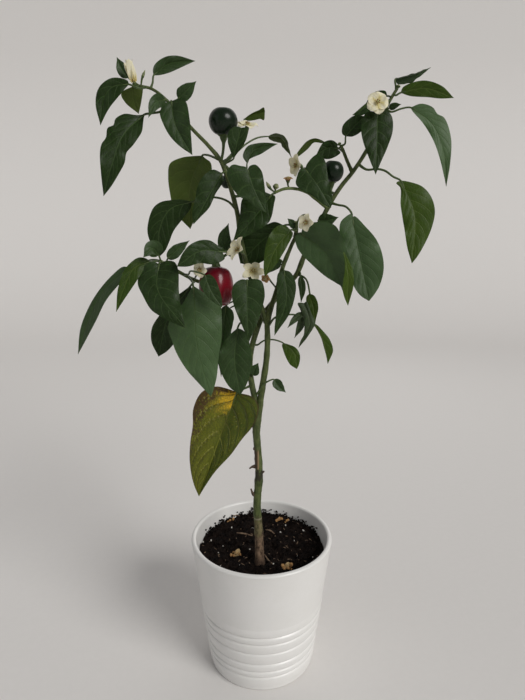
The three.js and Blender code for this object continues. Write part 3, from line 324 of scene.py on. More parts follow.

# Leaves with nodes of their own: how light they are, which on the lighter ones is partly painted sheen,
# how far each half is folded up, and so on
LEAVES = {
    "leaf_left_tip_outer": grown(
        20, [[-111, 552, -27], [-125, 550, -29], [-133, 540, -28], [-137, 520, -30]],
        [[-112, 555], [-125, 557], [-136, 550], [-140, 538]],
        [[-117, 546], [-129, 533]],
        start=[-96, 550, -19], stalk=[[-103, 549, -26]], fold=15, tone=0.05),
    "leaf_left_tip_under": grown(
        17, [[-107, 551, -12], [-108, 541, -8], [-104, 529, -4]],
        [[-118, 545], [-115, 538]],
        [[-100, 551], [-101, 540]],
        fold=5, tone=0.9, kind="pale"),
    "leaf_left_tip_upper": grown(
        13, [[-90, 559, -14], [-77, 568, -6], [-55, 570, 2]],
        [[-90.5, 562], [-89, 567], [-80, 573], [-70, 574]],
        [[-86, 559], [-77, 561], [-67, 565]],
        stalk=[[-91.2, 553, -17.6]], fold=20, tone=0.2),
    "leaf_left_high_wavy": grown(
        33, [[-99, 528.5, -22], [-118, 512, -34], [-129, 488, -38], [-138, 462, -40]],
        [[-106, 528], [-116, 529], [-124, 525], [-126, 520], [-131, 518], [-133, 510], [-137, 505],
         [-139, 497], [-139, 480]],
        [[-100, 525], [-102, 515], [-106, 509], [-111, 503], [-116, 498], [-118, 490], [-124, 480],
         [-131, 470]],
        stalk=[[-85, 531, -17], [-93, 529.5, -19]], wave=1.6, tone=0.02),
    "leaf_left_high_front": grown(
        25, [[-76, 539, -23], [-73, 520, -29], [-59.5, 496, -34]],
        [[-82, 537], [-86, 530], [-84, 522], [-78, 511], [-70, 503]],
        [[-69, 541], [-64, 539], [-61, 525], [-60, 510]],
        fold=22, tone=0.2),
    "leaf_by_dark_fruit": grown(
        17, [[-24, 493, -17], [-21, 505, -21], [-17, 518, -22]],
        [[-27, 500], [-29, 508], [-28, 515], [-22, 519]],
        [[-21, 497], [-16, 503], [-12, 512], [-13, 518]],
        tone=0.12),
    "leaf_upper_middle": grown(
        11, [[-12.5, 489, 8], [-6, 500, 12], [14, 505, 16]],
        [[-16, 495], [-12, 503], [-4, 505.5], [5, 506]],
        [[-11, 492], [0, 497], [10, 503]],
        stalk=[[-20, 480, 2], [-13, 484, 6]], tone=0.2),
    "leaf_heart_upper": grown(
        34, [[-12, 484, -24], [-6, 467, -28], [4, 448, -28]],
        [[-13, 486], [-18, 487], [-25, 488], [-30, 482], [-27, 472], [-20, 462], [-12, 458], [-4, 452]],
        [[-10, 487], [-5, 488], [0, 483], [1.5, 478], [3, 468], [4, 458]],
        stalk=[[-17, 463, -12], [-14, 477, -20]], fold=4, notch=5, tone=0.22),
    "leaf_dark_middle": grown(
        36, [[9, 463, -11], [-6, 444, -14], [-25, 424, -16]],
        [[0, 466], [-12, 464], [-17, 459], [-19, 446], [-22, 434]],
        [[12, 462], [11, 455], [9, 445], [6, 439], [-5, 432], [-15, 427]],
        fold=6, turn=10, tone=0.06),
    "leaf_left_pale": grown(
        38, [[-51, 495.5, 12], [-62, 470, 18], [-63, 434, 22]],
        [[-60, 495], [-68, 494], [-79, 489], [-81, 478], [-80, 465], [-77, 450], [-71, 442]],
        [[-48, 493], [-44, 490], [-43, 483], [-47, 468], [-54, 452]],
        start=[-36, 491.5, -10], stalk=[[-42, 494.5, -3], [-47, 496, 6]], fold=6, tone=0.75, kind="pale"),
    "leaf_left_inner": grown(
        21, [[-34, 481, -14], [-44, 465, -19], [-60, 438, -23]],
        [[-42, 484], [-51, 478], [-56, 469], [-58, 459], [-61, 448]],
        [[-33, 475], [-40, 464], [-46, 452], [-53, 445]],
        tone=0.04),
    "leaf_left_round": grown(
        27, [[-61, 457, -6], [-80, 451, -7], [-90, 434, -7], [-91, 410, -6]],
        [[-70, 459], [-80, 458.5], [-88, 457], [-95, 452], [-100, 440], [-101, 430], [-97, 418]],
        [[-62, 452], [-70, 442], [-78, 432], [-82, 423], [-86, 415]],
        start=[-22, 451, -5], stalk=[[-28, 456.5, -4], [-34, 459.5, -4], [-43, 461, -4], [-52, 460, -5]],
        tone=0.0),
    "leaf_left_bright": grown(
        17, [[-100, 405, -10], [-114, 400, -16], [-124, 383, -20], [-133, 360, -24]],
        [[-103, 408], [-110, 409], [-118, 404], [-124, 397], [-130, 382], [-132, 370]],
        [[-104, 401], [-108, 395], [-118, 381], [-126, 370]],
        fold=18, tone=0.06, kind="bright"),
    "leaf_left_long": grown(
        12, [[-119, 400, 13], [-143, 380, 17], [-158, 355, 19], [-171, 320, 20]],
        [[-124, 401], [-135, 393], [-148, 379], [-158, 364], [-167, 344]],
        [[-120, 394], [-130, 384], [-142, 370], [-152, 352], [-162, 335]],
        stalk=[[-98, 407, 3], [-109, 404, 10]], fold=20, turn=45, tone=0.5),
    "leaf_left_broad": grown(
        38, [[-92, 403, -12], [-94, 380, -26], [-70, 345, -41]],
        [[-97, 405.5], [-102, 404], [-109, 397], [-112, 386], [-108, 375], [-101, 362], [-93, 356],
         [-82, 350]],
        [[-86, 406], [-78, 405], [-75, 398], [-75, 380], [-74, 365], [-72, 354]],
        fold=8, notch=3, tone=0.1),
    "leaf_left_behind": grown(
        24, [[-64, 384, 14], [-86, 354, 22], [-96, 318, 26]],
        [[-80, 372], [-95, 355], [-101, 345], [-102, 332]],
        [[-62, 370], [-70, 350], [-80, 332], [-88, 323]],
        tone=0.0),
    "leaf_largest": grown(
        50, [[-62, 384, -24], [-61, 366, -29], [-60, 330, -33], [-48, 279, -34]],
        [[-65, 379], [-71, 369], [-81, 358], [-86, 346], [-83, 333], [-79, 321], [-70, 305], [-60, 293]],
        [[-56, 380], [-50, 376], [-38, 367], [-36.5, 353], [-37, 335], [-40, 317], [-42, 299], [-45, 287]],
        # Painted sheen: this leaf is painted lighter towards its tip.
        stalk=[[-63, 388, -10]], fold=-6, fading=0.5, tone=0.75),
    "leaf_over_red_fruit": grown(
        24, [[-35, 414, -18], [-54, 415, -26], [-76, 401, -30]],
        [[-34, 417], [-38, 419], [-46, 424], [-55, 424], [-64, 420], [-71, 412]],
        [[-33, 408], [-44, 403], [-55, 404], [-66, 401]],
        stalk=[[-26, 415, -10]], tone=0.1),
    "leaf_shaded_middle": grown(
        26, [[20, 437, 5], [2, 425, 12], [-19, 404, 15]],
        [[12, 440], [5, 438], [-8, 432], [-17, 428], [-21, 416]],
        [[14, 426], [8, 412], [0, 405], [-10, 402]],
        start=[30, 429, -15], stalk=[[30, 431, -7], [26, 437, 0]], tone=0.0),
    "leaf_middle_bright": grown(
        19, [[26, 433, -21], [13, 417, -25], [3, 392, -28]],
        [[21, 437], [15, 437], [8, 430], [4, 420], [2, 405], [2, 398]],
        [[28, 430], [24, 421], [19, 412], [11, 400]],
        fold=6, tone=0.14, kind="bright"),
    "leaf_centre": grown(
        29, [[-13, 389, -26], [-13, 362, -32], [-12, 331, -35]],
        [[-18, 389.5], [-25, 385], [-27, 376], [-25, 365], [-20, 352], [-15, 340]],
        [[-6, 390], [0, 388], [3, 376], [1, 365], [-3, 352], [-8, 340]],
        stalk=[[-8, 382, -14], [-12, 387, -23]], tone=0.16),
    "leaf_low_centre": grown(
        28, [[-22, 345, -21], [-25, 314, -24], [-20, 281, -25]],
        [[-30, 338], [-37, 327], [-40, 312], [-36, 298], [-29, 287]],
        [[-16, 342], [-11, 330], [-9, 315], [-11, 300], [-16, 287]],
        stalk=[[-12, 350, -12], [-19, 350, -18]], tone=0.25),
    "leaf_before_red_fruit": grown(
        16, [[-51, 393, -37], [-45, 378, -39], [-36, 364, -40]],
        [[-56, 387], [-51, 376], [-44, 369]],
        [[-47, 394], [-42, 390], [-38, 380], [-36, 371]],
        stalk=[[-66, 394, -8], [-63, 397, -26]], tone=0.2),
    "leaf_right_low": grown(
        38, [[80, 444, -15], [88, 410, -22], [98, 370, -30]],
        [[79, 447], [75, 445], [70, 440], [69, 432], [71, 420], [77, 400], [85, 381], [91, 374]],
        [[82, 445], [92, 436], [102, 425], [108, 412], [110, 398], [107, 384], [102, 375]],
        # Its high tone is partly painted sheen.
        stalk=[[67, 454.5, -6], [74, 453, -10], [79, 448, -13]], tone=0.7),
    "leaf_right_front": grown(
        36, [[35, 430, -21], [58, 412, -30], [79, 367, -36]],
        [[30, 428], [31, 420], [35, 413], [45, 403], [58, 392], [68, 386], [74, 382], [76, 373]],
        [[38, 437], [52, 440], [65, 437], [72, 425], [78, 411], [81.5, 396], [81, 381]],
        # Its high tone is partly painted sheen.
        start=[31, 429, -15], stalk=[[33.6, 430, -18.6]], folds=[25, 6], turn=8, tone=0.6,
        flap=grown(7, [[74, 413.5, -42], [76.5, 402.5, -44], [78.5, 391, -45], [78.5, 380, -43],
            [79, 365.5, -39]], [[73, 414], [74.5, 407], [75, 398], [74, 389], [73.5, 381], [75.5, 373]],
            [[74.5, 413], [78, 407], [82, 398], [83.5, 389], [83, 381], [81, 373]])),
    "leaf_heart_right": grown(
        30, [[38, 484, -12], [49, 471, -17], [61, 452, -18]],
        [[34, 485], [31, 479], [30, 472], [35, 467], [45, 462], [54, 455]],
        [[39, 488], [45, 495], [50, 497], [55, 491], [58, 476], [62, 461]],
        stalk=[[56, 468, 6], [45, 479, 4], [38, 485, -4]], fold=3, notch=4, tone=0.16),
    "leaf_right_shoot": grown(
        18, [[65, 501, 5], [58, 502, 8], [47, 496, 8]],
        [[65, 505], [60, 508], [53, 506]],
        [[68, 498], [60, 493], [53, 493]],
        tone=0.1),
    "leaf_right_tip_upper": grown(
        14, [[117, 545.5, 7], [138, 549, 2], [162, 541.5, -4]],
        [[119, 550], [135, 555], [151, 551]],
        [[125, 543], [140, 542], [152, 541]],
        stalk=[[113, 543.5, 8]], tone=0.25, kind="bright"),
    "leaf_right_tip_long": grown(
        20, [[126, 534, 5], [145, 521, 2], [157, 497, -1], [161, 470, -4]],
        [[135, 537], [145, 534], [149, 529], [155, 526], [162, 510], [163, 490]],
        [[128, 531], [137, 522], [147, 508], [153, 495], [158, 480]],
        # Its high tone is partly painted sheen.
        stalk=[[110, 530.5, 7], [118, 533, 6]], turn=-10, wave=1, tone=1.0),
    "leaf_right_tip_front": grown(
        30, [[98, 530, -6], [99, 508, -15], [99, 480, -19]],
        [[91, 531], [86, 526], [85, 516], [87, 507], [92, 495]],
        [[103, 533], [110, 528], [112, 516], [108, 502], [103, 490]],
        stalk=[[101, 531, 2]], fold=7, notch=3, tone=0.03),
    "leaf_right_stub": grown(
        14, [[72, 511, 3], [79, 519, 1], [88, 527, 0]],
        [[69, 513], [69, 519], [73, 524], [80, 528]],
        [[78, 511], [85, 515], [88, 521]],
        stalk=[[71.5, 505, 3]], tone=0.1),
    "leaf_right_tip_behind": grown(
        13, [[106, 543, 15], [93, 540, 19], [77, 528, 22]],
        [[104, 547], [95, 546], [90, 541], [88, 534]],
        [[98, 536], [86, 528]],
        tone=0.2),
    "leaf_right_outer": grown(
        31, [[121, 475, -10], [135, 446, -18], [135, 404, -26]],
        [[117, 473], [121, 469], [122, 455], [124, 445], [127, 432], [130, 418]],
        [[128, 474], [140, 470], [148, 462], [152.5, 450], [151, 436], [145, 420], [139, 409]],
        stalk=[[91, 484, 0], [100, 484.5, -5], [107, 483, -7], [114.5, 478, -9]], fold=6, tone=0.35,
        kind="bright"),
    "leaf_inner_right": grown(
        19, [[20, 398, -17], [23, 372, -21], [12, 338, -23]],
        [[15, 395], [14, 375], [13, 355], [12, 345]],
        [[26, 396], [31, 386], [30, 372], [25, 357], [17, 345]],
        fold=6, tone=0.15),
    "leaf_right_drooping": grown(
        13, [[47, 350, -7], [57, 334, -9], [62, 311, -12]],
        [[49, 349.5], [52, 342], [55.5, 335], [58, 326.5], [60.5, 318]],
        [[51.5, 347.5], [56, 343], [62, 336], [65.5, 329], [66.5, 323], [64.5, 317]],
        stalk=[[40, 390, -4], [44, 376, -5], [46, 361, -6]], fold=6, tone=0.3, kind="bright",
        second=grown(9, [[43, 376, -5], [47, 366, -10], [49.5, 350, -12]])),
    "leaf_low_right": grown(
        15, [[20, 331, -6], [31, 321, -9], [33, 306, -12]],
        [[19, 329], [20.5, 323], [23, 316.5], [27, 310]],
        [[26.5, 329], [31, 327], [34.5, 323], [36, 317.5], [35, 310]],
        stalk=[[-4, 329, -4], [2, 333, -2], [11, 334, -3]], fold=4, tone=0.3, kind="bright"),
    "leaf_yellow": grown(
        54, [[-23, 283, -18], [-34, 255, -22], [-50, 210, -24], [-62, 176, -24]],
        [[-30, 286], [-44, 289], [-57, 283], [-65, 267], [-66, 250], [-69, 232], [-70, 212], [-67, 190]],
        [[-19, 282], [-9, 279], [-3, 270], [-7, 252], [-19, 236], [-30, 220], [-45, 203], [-55, 188]],
        stalk=[[-14, 288, -16]], fold=5, notch=7, turn=8, slant=0.44, pairs=7, quilt=0.11, kind="yellow"),
}

# The wilted tuft: small blades on one thin stalk
WILTED_STALK = [[5.5, 345, -12], [13, 355, -16], [27, 357.5, -15], [38, 356, -15]]
WILTED_NECK = [[35, 366, -15], [37, 361, -15], [38, 356, -15]]
WILTED_BLADES = [
    grown(
        13, [[39, 368, -15], [42.5, 359.5, -17], [44.5, 349, -19], [40, 337, -18], [34.5, 326.5, -18]],
        [[33, 368], [35, 363], [37.5, 357], [39.5, 351], [39.5, 344], [39, 338.5], [36, 332.5]],
        [[41, 369.5], [44, 363], [46.5, 357], [49.5, 350], [48, 345.5], [45, 340.5], [41.5, 335],
         [37.5, 330]],
        folds=[28, 12]),
    grown(6, [[37, 359, -14], [30, 352.5, -17], [24, 345, -19]], fold=25),
    grown(7, [[39, 357, -13], [35, 345, -13], [30.5, 335.5, -13]], fold=25),
]


def bloom(at, face, radius, close, stalk, breadth=0.52, flare=1.0, withered=False):
    """The record of a bloom, with the way it faces and how far its petals close over the middle."""
    return at, face, radius, close, stalk, breadth, flare, withered


BLOOMS = {
    "bloom_left_tip": bloom([-106.5, 553, -24], [-0.24, -0.12, 1], 17, 84, [[-103, 551, -20]],
        breadth=0.2, flare=0.1),
    "bloom_upper_left": bloom([-12, 520, 0], [0.15, -0.45, 1], 9.5, 22, [[-32, 488, -10], [-20, 500, -4],
        [-14, 510, -1]]),
    "bloom_upper_centre": bloom([30.5, 487.5, 3], [-0.85, -0.5, -0.1], 10, 22, [[34, 467, -9],
        [37, 480, 2], [34.5, 486.5, 5]], breadth=0.45, flare=0.35),
    "bloom_left_centre": bloom([-20.5, 415.5, -19], [-0.8, -0.62, 0.42], 12, 42, [[-14, 405, -2],
        [-15, 411, -9]], breadth=0.34, flare=0.7),
    "bloom_front": bloom([-7.5, 396.5, -13], [0.1, -0.8, 0.6], 11, 18, [[-10, 392, -4]], breadth=0.36,
        flare=0.9),
    "bloom_small_left": bloom([-55, 398, -17], [-0.4, -1, 0], 7, 34, [[-61, 389, 7], [-58, 394, -4]]),
    "bloom_right_centre": bloom([40, 439.5, -30], [-0.6, -0.8, 0], 8, 40, [[31, 431, -14], [33, 443, -16],
        [39, 446, -21]], breadth=0.45, flare=0.8),
    "bloom_right_tip": bloom([98, 538, -14], [0, -1, 0.2], 9.4, 14, [[108, 539, 10], [104, 540, 0]],
        breadth=0.6),
    "withered_bloom_upper": bloom([23, 475, -8.5], [0, -0.4, 1], 4.5, 60, [[24, 468.5, -9.5]],
        withered=True),
    "withered_bloom_middle": bloom([4, 391, -15], [-0.3, -1, -0.4], 4.5, 55, [[14, 381, -12],
        [9, 387, -11]], withered=True),
}

# Dried blooms on the soil: place and radius
FALLEN = {
    "fallen_bloom_left": (-25.5, -9, 6),
    "fallen_bloom_right": (23.5, -28, 5),
}

# Fruits: place, the way the fruit points, width, length, stalk, and whether it is red
FRUITS = {
    "fruit_dark_left": ([-32.5, 523, -12], [0, -0.1, 1], 24, 23, [[-35, 490, -10], [-33, 499, -11]],
        False),
    "fruit_dark_hidden": ([-29, 474, 6], [0, 0.1, -1], 13, 13, [[-35, 491, -10], [-32, 488, 0]], False),
    "fruit_dark_right": ([61.8, 482.5, -3.5], [0.08, -0.1, 1], 18.5, 19, [[59, 453, -2], [60, 463, -3.5]],
        False),
    "fruit_red": ([-41, 383, -7], [0, -0.15, -1], 30, 35, [[-17, 420, -2], [-29, 413, -4]], True),
}


# Paths and meshes

def unit(vectors):
    lengths = np.linalg.norm(vectors, axis=-1, keepdims=True)
    return vectors / np.maximum(lengths, 1e-9)


def smoothstep(low, high, value):
    share = np.clip((value - low) / (high - low), 0, 1)
    return share * share * (3 - 2 * share)


def round_axis(axis, aside, angle):
    """The direction at an angle round an axis, from the one aside of it."""
    return aside * math.cos(angle) + np.cross(axis, aside) * math.sin(angle)


def smooth_path(points, count):
    """Evenly spaced points on the smooth curve through the given ones."""
    points = np.array(points, float)
    points = np.vstack([2 * points[0] - points[1], points, 2 * points[-1] - points[-2]])
    share = np.linspace(0, 1, 24, endpoint=False)[:, None]
    fine = []
    for before, start, end, after in zip(points, points[1:], points[2:], points[3:]):
        gaps = [max(np.linalg.norm(b - a), 1e-4) ** 0.5
                for a, b in ((before, start), (start, end), (end, after))]
        leave = (start - before) / gaps[0] - (end - before) / (gaps[0] + gaps[1]) + (end - start) / gaps[1]
        arrive = (end - start) / gaps[1] - (after - start) / (gaps[1] + gaps[2]) + (after - end) / gaps[2]
        leave, arrive = leave * gaps[1], arrive * gaps[1]
        square = 3 * (end - start) - 2 * leave - arrive
        cube = 2 * (start - end) + leave + arrive
        fine.append(start + leave * share + square * share ** 2 + cube * share ** 3)
    fine = np.vstack(fine + [points[-2:-1]])
    length = np.concatenate([[0], np.cumsum(np.linalg.norm(np.diff(fine, axis=0), axis=1))])
    even = np.linspace(0, length[-1], count + 1)
    return np.stack([np.interp(even, length, fine[:, k]) for k in range(3)], axis=1)


def spread(values, count):
    """A list of values spread evenly over a count of points."""
    return np.interp(np.linspace(0, 1, count), np.linspace(0, 1, len(values)), values)


def grid_faces(rows, columns, closed=False):
    """Quads over a grid of points, each row joined to itself where it is closed."""
    faces = []
    for i in range(rows - 1):
        for j in range(columns if closed else columns - 1):
            a, b = i * columns + j, i * columns + (j + 1) % columns
            faces.append((a, b, b + columns, a + columns))
    return faces


def tube_faces(rows, sides):
    """Quads over closed rings of points, with a face at each end."""
    last = (rows - 1) * sides
    ends = [tuple(reversed(range(sides))), tuple(range(last, last + sides))]
    return grid_faces(rows, sides, closed=True) + ends


def sheet_faces(rows, columns, flipped=False):
    """Faces of a thin sheet: a grid of points, a second one under it, and the rim between them."""
    total, right, low = rows * columns, columns - 1, (rows - 1) * columns
    top = grid_faces(rows, columns)
    edge = [*range(right), *(i * columns + right for i in range(rows - 1)),
            *(low + j for j in range(right, 0, -1)), *(i * columns for i in range(rows - 1, 0, -1))]
    if flipped:
        top = [tuple(reversed(quad)) for quad in top]
        edge.reverse()
    bottom = [tuple(k + total for k in reversed(quad)) for quad in top]
    rim = [(b, a, a + total, b + total) for a, b in zip(edge, edge[1:] + edge[:1])]
    return top + bottom + rim


def sheet_points(middle, normal, half):
    """The two grids of points of a thin sheet, from its middle one."""
    return np.vstack([(middle + normal * half).reshape(-1, 3), (middle - normal * half).reshape(-1, 3)])


def grid_marks(grid, *layers):
    """One mark for each point of a grid, from values that may be the same along its rows or columns."""
    return np.stack([np.broadcast_to(layer, grid) for layer in layers], 2).reshape(-1, 3)


def tube(path, radii, sides=12, roughness=0.0, seed=0):
    """Points and faces of a round tube along a path, closed at both ends."""
    along = unit(np.gradient(path, axis=0))
    guess = np.array([0.0, 1.0, 0.0]) if abs(along[0][1]) < 0.8 else np.array([1.0, 0.0, 0.0])
    first = []
    for direction in along:
        guess = unit(guess - direction * np.dot(guess, direction))
        first.append(guess)
    first = np.array(first)
    second = np.cross(along, first)
    radius = spread(radii, len(path))[:, None] * np.ones((1, sides))
    if roughness:
        bumps = np.random.default_rng(seed).normal(0, roughness, radius.shape)
        bumps = (bumps + np.roll(bumps, 1, 0) + np.roll(bumps, 1, 1) + np.roll(bumps, (1, 1), (0, 1))) / 2
        radius = radius * (1 + bumps)
    angle = np.linspace(0, FULL_TURN, sides, endpoint=False)[None, :, None]
    ring = np.cos(angle) * first[:, None] + np.sin(angle) * second[:, None]
    points = path[:, None] + radius[:, :, None] * ring
    return points.reshape(-1, 3), tube_faces(len(path), sides)


def lathe(profile, sides, wobble=None):
    """Points and faces of a profile of radii and heights turned about +Z. Its ends lie on the axis."""
    angle = np.linspace(0, FULL_TURN, sides, endpoint=False)
    rows = []
    for radius, height in profile[1:-1]:
        reach = radius * (np.ones(sides) if wobble is None else wobble(angle, height))
        rows.append(np.stack([reach * np.cos(angle), reach * np.sin(angle), np.full(sides, height)], 1))
    points = np.vstack(rows + [[[0, 0, profile[0][1]], [0, 0, profile[-1][1]]]])
    faces = grid_faces(len(rows), sides, closed=True)
    low, high, last = len(points) - 2, len(points) - 1, (len(rows) - 1) * sides
    for j in range(sides):
        following = (j + 1) % sides
        faces += [(low, following, j), (high, last + j, last + following)]
    return points, faces


def turned(points, axis, at):
    """Points made about +Z, turned so that +Z lies along an axis, and moved to a place."""
    turn = Vector((0, 0, 1)).rotation_difference(Vector(axis)).to_matrix()
    return points @ np.array(turn).T + at


def new_object(name, data):
    made = bpy.data.objects.new(name, data)
    bpy.context.scene.collection.objects.link(made)
    return made


class Shape:
    """The points and faces of one piece, with the three marks on its surface that its finishes read."""

    def __init__(self):
        self.points, self.faces, self.finishes, self.marks = [], [], [], []
        self.count = 0

    def add(self, points, faces, finish=0, place=None, veins=None, age=None):
        """Adds points with their marks, and faces with the number of their finish."""
        self.points.append(points)
        self.faces += [tuple(self.count + k for k in face) for face in faces]
        self.finishes += [finish] * len(faces)
        empty = np.zeros((len(points), 3))
        marks = [points if place is None else place, empty if veins is None else veins,
                 empty if age is None else age]
        self.marks.append(np.stack(marks, axis=1))
        self.count += len(points)
        return self

    def piece(self, name, finishes, slot, *nodes, sharp=55):
        """Makes the object, which stands for the nodes that it names."""
        mesh = bpy.data.meshes.new(name)
        mesh.from_pydata((np.vstack(self.points) * MM).tolist(), [], self.faces)
        for finish in finishes:
            mesh.materials.append(finish)
        mesh.polygons.foreach_set("material_index", self.finishes)
        mesh.polygons.foreach_set("use_smooth", [True] * len(self.faces))
        marks = np.vstack(self.marks)
        for k, label in enumerate(("place", "veins", "age")):
            layer = mesh.attributes.new(label, "FLOAT_VECTOR", "POINT")
            layer.data.foreach_set("vector", np.ascontiguousarray(marks[:, k], dtype=np.float32).ravel())
        mesh.update()
        mesh.set_sharp_from_angle(angle=sharp * DEGREE)
        made = new_object(name, mesh)
        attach(made, BODY)
        if nodes:
            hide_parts(*nodes)


# Leaves

STEM_PATHS = [smooth_path(seen_all(path), 120) for path, _, _ in STEMS.values()]


def nearest_stem(place):
    """The point on the middle lines of the stems that is nearest to a place written as the eye sees it."""
    place = seen(place)
    best = min(STEM_PATHS, key=lambda path: np.linalg.norm(path - place, axis=1).min())
    return best[np.argmin(np.linalg.norm(best - place, axis=1))]


def leaf_outline(u):
    """How wide a leaf is along its rib, from 0 at both ends to 1 at its widest."""
    widest = LEAF_RISE / (LEAF_RISE + LEAF_FALL)
    return (u / widest) ** LEAF_RISE * ((1 - u) / (1 - widest)) ** LEAF_FALL


def leaf_margins(leaf, rib, side):
    """The two margins of a leaf as curves from its base to its tip, first the one for v below 0."""
    places = np.array(leaf["rib"], float)
    base, way = places[0, :2], places[-1, :2] - places[0, :2]
    curves = {}
    for margin in leaf["margins"]:
        shares = [np.dot(np.array(place) - base, way) / np.dot(way, way) for place in margin]
        depths = np.interp(shares, np.linspace(0, 1, len(places)), places[:, 2])
        route = seen_all([[*place, depth] for place, depth in zip(margin, depths)])
        curve = smooth_path([rib[0], *route, rib[-1]], RIB_STEPS)
        curves[np.sum((curve - rib) * side) > 0] = curve
    return curves[False][:, None], curves[True][:, None]


def blade_waves(u, v, ripple):
    """Long and short waves along the margins, which differ between the two halves."""
    below = np.sin(15 * u + ripple[2]) + 0.6 * np.sin(29 * u + ripple[3])
    above = np.sin(17 * u + ripple[0]) + 0.6 * np.sin(31 * u + ripple[1])
    return np.where(v > 0, above, below)


def blade_relief(leaf, u, v, phase, waves, half):
    """How high a blade stands over a plain folded one: its quilt, its waves and its curl."""
    out, swell, width = np.abs(v), np.sin(math.pi * u), leaf["width"]
    flesh = np.abs(np.sin(math.pi * phase)) ** 0.6 * (1 - out ** 4) * np.minimum(1, 4 * out)
    lift = leaf.get("quilt", QUILT) * width / 2 * flesh * np.sqrt(np.maximum(0, swell))
    lift = lift + leaf.get("wave", 0) * out * np.sin(WAVES * math.pi * u + np.where(v > 0, 1.3, 0))
    return lift + 0.035 * width * out ** 3 * waves * swell - leaf.get("curl", 0) * out ** 3 * half


def add_keel(shape, leaf, rib, finish, tone):
    """The thick midrib behind a blade."""
    keel = rib[:-3] - unit(EYE - rib[:-3]) * KEEL_DEPTH
    thick = KEEL if leaf["width"] > LARGE_LEAF else THIN_KEEL
    points, faces = tube(keel, [thick, thick * 0.6, 0.12], 8)
    shape.add(points, faces, finish, veins=np.tile([0.5, 0.0, 1.0], (len(points), 1)),
              age=np.tile([tone, 0.5, 0.0], (len(points), 1)))


def add_blade(shape, leaf, finish, tone):
    """A blade about its rib: veins in valleys, the flesh between them raised, thin wavy margins.

    u runs along the rib from 0 at the base to 1 at the tip, and v across the blade from -1 to 1.
    """
    chance = random.Random(str(leaf["rib"]))
    rib = smooth_path(seen_all(leaf["rib"]), RIB_STEPS)
    length = np.linalg.norm(np.diff(rib, axis=0), axis=1).sum()
    along = unit(np.gradient(rib, axis=0))
    turn = leaf.get("turn", 0) * DEGREE
    side = round_axis(along, unit(np.cross(along, EYE - rib)), turn)

    u = np.linspace(0, 1, RIB_STEPS + 1)[:, None]
    v = np.linspace(-1, 1, 2 * HALF_STEPS + 1)[None, :]
    out = np.abs(v)
    ripple = [chance.uniform(0, FULL_TURN) for _ in range(4)]
    waves = blade_waves(u, v, ripple)
    notch = leaf.get("notch", 0)
    start = LOBE_START if notch else 0.0
    half = leaf["width"] / 2 * leaf_outline(start + (1 - start) * u) + TIP_HALF * (1 - 0.8 * u)
    half = half * (1 - 0.25 * smoothstep(0.7, 0.97, u)) * (1 + 0.018 * waves * out)

    pairs = leaf.get("pairs", min(max(round(length / VEIN_SPACING), FEWEST_VEINS), MOST_VEINS))
    slant = leaf.get("slant", VEIN_SLANT) * out ** 1.25
    phase = pairs * (0.96 * u - slant) + np.where(v > 0, 0.5, 0) + ripple[0]
    lift = blade_relief(leaf, u, v, phase, waves, half)
    low_fold, high_fold = leaf.get("folds", [leaf.get("fold", FOLD)] * 2)
    fold = np.where(v > 0, high_fold, low_fold) * DEGREE
    cup = out * (1.3 - 0.3 * out)

    if leaf["margins"]:
        below, above = leaf_margins(leaf, rib, side)
        reach = np.where(v[:, :, None] > 0, above, below) - rib[:, None]
        half = np.linalg.norm(reach, axis=2) * (1 + 0.012 * waves * out)
        across = v * half
        lift = lift + half * (cup * np.tan(fold) - v * math.tan(turn))
        flat = rib[:, None] + out[:, :, None] * reach
        middle = flat + unit(EYE - flat) * lift[:, :, None]
    else:
        across = v * half * np.cos(fold)
        lift = lift + cup * half * np.sin(fold)
        lobe = 1.25 * notch * np.sin(0.92 * math.pi * out ** 0.9) * np.maximum(0, 1 - u / LOBE_END) ** 2
        middle = (rib[:, None] + side[:, None] * across[:, :, None]
                  + np.cross(side, along)[:, None] * lift[:, :, None] - along[:, None] * lobe[:, :, None])
    normal = unit(np.cross(np.gradient(middle, axis=1), np.gradient(middle, axis=0)))
    thick = BLADE / 2 * (1 - 0.5 * out ** 6)[:, :, None]

    grid = across.shape
    place = grid_marks(grid, across, u * length, chance.uniform(0, 900))
    # Painted sheen: the tone, and on some leaves a lift towards the tip, lighten the green as if it shone.
    age = grid_marks(grid, tone + leaf.get("fading", 0) * (u - 0.5), u, v)
    veins = [grid_marks(grid, phase, out, under) for under in (0.0, 1.0)]
    shape.add(sheet_points(middle, normal, thick), sheet_faces(*grid), finish,
              np.vstack([place, place]), np.vstack(veins), np.vstack([age, age]))
    add_keel(shape, leaf, rib, finish, tone)


def add_stalk(shape, leaf, start, finish):
    """The stalk of a leaf, thicker where it leaves the stem, which runs on into the rib."""
    rib = smooth_path(seen_all(leaf["rib"]), 20)
    route = [start, *map(seen, leaf.get("stalk", [])), rib[0], rib[2]]
    thick = STALK if leaf["width"] > LARGE_LEAF else THIN_STALK
    radii = [thick * share for share in STALK_TAPER]
    shape.add(*tube(smooth_path(route, 22), radii, 10), finish)


# Finishes

class Value:
    """A number, colour or place that changes over a surface. Arithmetic on it adds nodes to its tree."""

    def __init__(self, socket):
        self.socket = socket

    def __add__(self, other):
        return combined("ADD", self, other)

    def __sub__(self, other):
        return combined("SUBTRACT", self, other)

    def __mul__(self, other):
        return combined("MULTIPLY", self, other)


def feed(socket, value):
    """Links a value that changes to a socket, or sets the socket to one that doesn't."""
    if isinstance(value, Value):
        socket.id_data.links.new(value.socket, socket)
    elif socket.type == "RGBA" and len(value) == 3:
        socket.default_value = (*value, 1)
    else:
        socket.default_value = value


def add_node(tree, kind, values, **settings):
    made = tree.nodes.new("ShaderNode" + kind)
    for key, value in settings.items():
        setattr(made, key, value)
    for key, value in values.items():
        feed(made.inputs[key], value)
    return made


